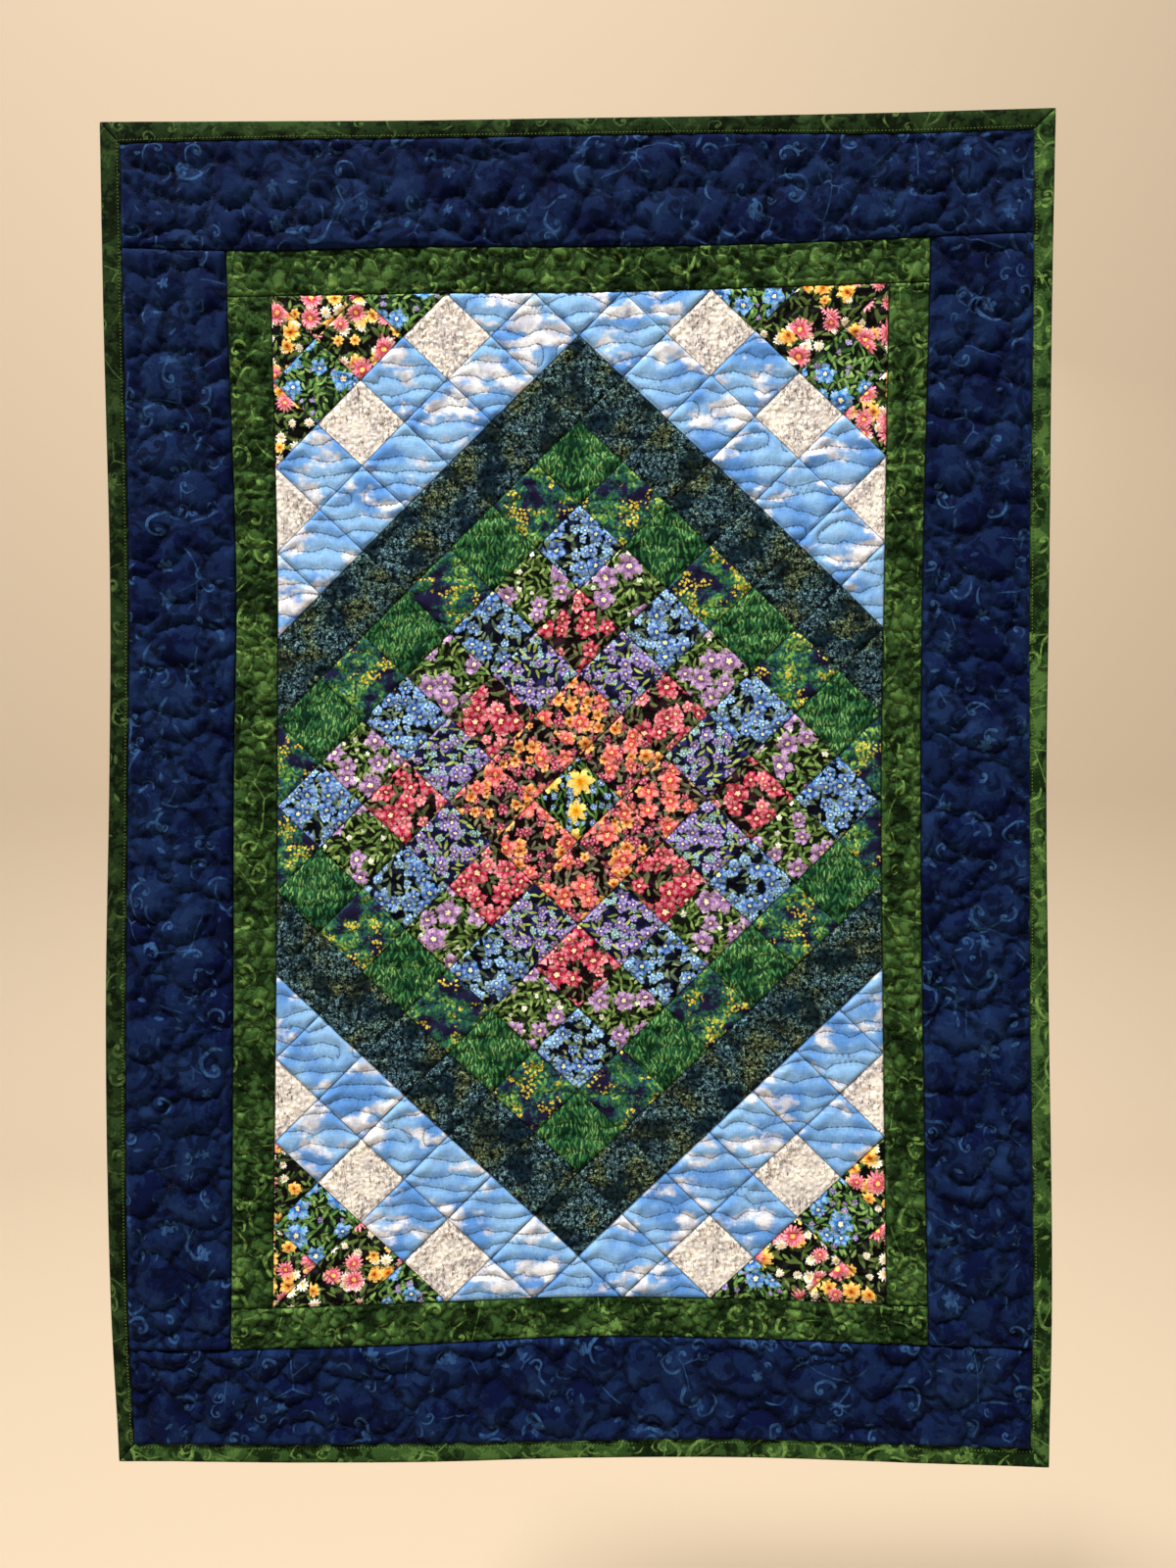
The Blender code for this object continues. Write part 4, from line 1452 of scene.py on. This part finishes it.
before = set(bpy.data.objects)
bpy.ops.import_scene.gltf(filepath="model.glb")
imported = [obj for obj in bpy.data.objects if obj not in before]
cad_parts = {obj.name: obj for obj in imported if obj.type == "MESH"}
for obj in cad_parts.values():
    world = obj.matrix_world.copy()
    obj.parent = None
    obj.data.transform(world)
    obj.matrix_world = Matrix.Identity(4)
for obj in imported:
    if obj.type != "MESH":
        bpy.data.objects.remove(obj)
cad_low, cad_high = (list(corner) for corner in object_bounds())
middle = Vector((0, 0, (cad_low[2] + cad_high[2]) / 2))

rng = np.random.default_rng(7)
panel_lines = []
for row in wave_rows(rng):
    panel_lines += stretches(row, ~in_prints(row[:, 0], row[:, 1], ("birch",)))
panel_quilting = Quilting(panel_lines)
pebble_quilting = Quilting(pebbles(rng))
inner_quilting, outer_quilting = (
    Quilting([line for box in boxes.values() for line in clouds(box, size, margin, rng)])
    for boxes, size, margin in (
        (INNER_BOXES, INNER_CLOUD, INNER_MARGIN), (OUTER_BOXES, OUTER_CLOUD, OUTER_MARGIN)))

navy = scroll_print(
    "navy_scroll_print", (5, 13, 47), (13, 28, 62), (24, 44, 80), (46, 80, 122),
    15, 0.16, 0.545, 0.26, 0.45)
green = scroll_print(
    "green_scroll_print", (16, 34, 11), (45, 72, 33), (78, 110, 54), (108, 143, 72),
    12, 0.22, 0.48, 0.26, 0.55)
# A darker copy of the green print: painted shade for the left and top bindings, as if those sides
# lay in shade.
shade_painted_green = scroll_print(
    "painted_shade_scroll_print", (9, 19, 6), (27, 44, 19), (50, 72, 37), (74, 100, 53),
    11, 0.24, 0.50, 0.30, 0.8)
cottons = [
    MAKERS[name]() if name in MAKERS else floral_print(name + "_print", *FLORALS[name])
    for name in PRINTS]
backing = backing_cloth()

# Each CAD node's cloth, flat size and material slot.
panel_size = (PANEL_R - PANEL_L, PANEL_B - PANEL_T)
pieces = {"centre_panel": (centre_panel([*cottons, backing], rng), panel_size, "patchwork_cotton")}
for kind, boxes, cell, quilting, puff, cotton, slot in (
    ("inner", INNER_BOXES, INNER_CELL, inner_quilting, INNER_PUFF, green, "green_scroll_cotton"),
    ("outer", OUTER_BOXES, OUTER_CELL, outer_quilting, OUTER_PUFF, navy, "navy_scroll_cotton"),
):
    for side, box in boxes.items():
        node = f"{kind}_border_{side}"
        shift = rng.uniform(0, BOLT, 2)
        strip = border_strip(
            node + "_cloth", box, cell, quilting, puff, [cotton, backing], shift)
        pieces[node] = (strip, (box[1] - box[0], box[3] - box[2]), slot)
for side in BINDING_EDGES:
    shift = rng.uniform(0, BOLT, 2)
    # The left and top bindings take the darker copy of the green print: painted shade.
    cotton = shade_painted_green if side in ("left", "top") else green
    strip = binding_side(f"binding_{side}_cloth", side, [cotton], shift)
    length = (EDGE_B - EDGE_T) if side in UPRIGHT else (EDGE_R - EDGE_L)
    flat = (2 * (FOLD_L - EDGE_L) + ROUND_EDGE, length)
    pieces[f"binding_{side}"] = (strip, flat, "green_scroll_cotton")

for node, (obj, _, slot) in pieces.items():
    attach(obj, "root")
    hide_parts(node)

pale_lines, dark_lines = [], []
for line in panel_lines:
    pale = in_prints(line[:, 0], line[:, 1], PALE_PRINTS)
    pale_lines += stretches(line, pale)
    dark_lines += stretches(line, ~pale)
left, right = FOLD_L - TOPSTITCH_INSET, FOLD_R + TOPSTITCH_INSET
top, bottom = FOLD_T - TOPSTITCH_INSET, FOLD_B + TOPSTITCH_INSET
corners = np.array(((left, top), (right, top), (right, bottom), (left, bottom), (left, top)))
share = np.linspace(0, 1, 500)[:, None]
topstitch = [a * (1 - share) + b * share for a, b in zip(corners, corners[1:])]

slate = thread("slate", (74, 96, 130))
dark = thread("dark", (34, 46, 46))
leafy = thread("green", (38, 60, 28))
inky = thread("navy", (14, 25, 54))
lime = thread("lime", (96, 120, 58))
stitching = stitch_tree()
panel_surface = surface_of("centre_panel")
inner_surface = surface_of("inner_border")
outer_surface = surface_of("outer_border")
binding_surface = surface_of("binding")
on_piece = {}
for name, node, lines, surface, yarn, size in (
    ("panel_stitches_pale", "centre_panel", pale_lines, panel_surface, slate, QUILTING_STITCH),
    ("panel_stitches_dark", "centre_panel", dark_lines, panel_surface, dark, QUILTING_STITCH),
    ("inner_border_stitches", "inner_border_top", inner_quilting.lines, inner_surface, leafy,
     QUILTING_STITCH),
    ("outer_border_stitches", "outer_border_top", outer_quilting.lines, outer_surface, inky,
     QUILTING_STITCH),
    ("binding_topstitch", "binding_top", topstitch, binding_surface, lime, TOPSTITCH),
):
    stitches = sew(name, lines, surface, stitching, yarn, *size)
    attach(stitches, "root")
    on_piece.setdefault(node, []).append(stitches)

stage()
lighting(middle)
camera(middle)
bpy.context.scene.view_settings.view_transform = "Standard"
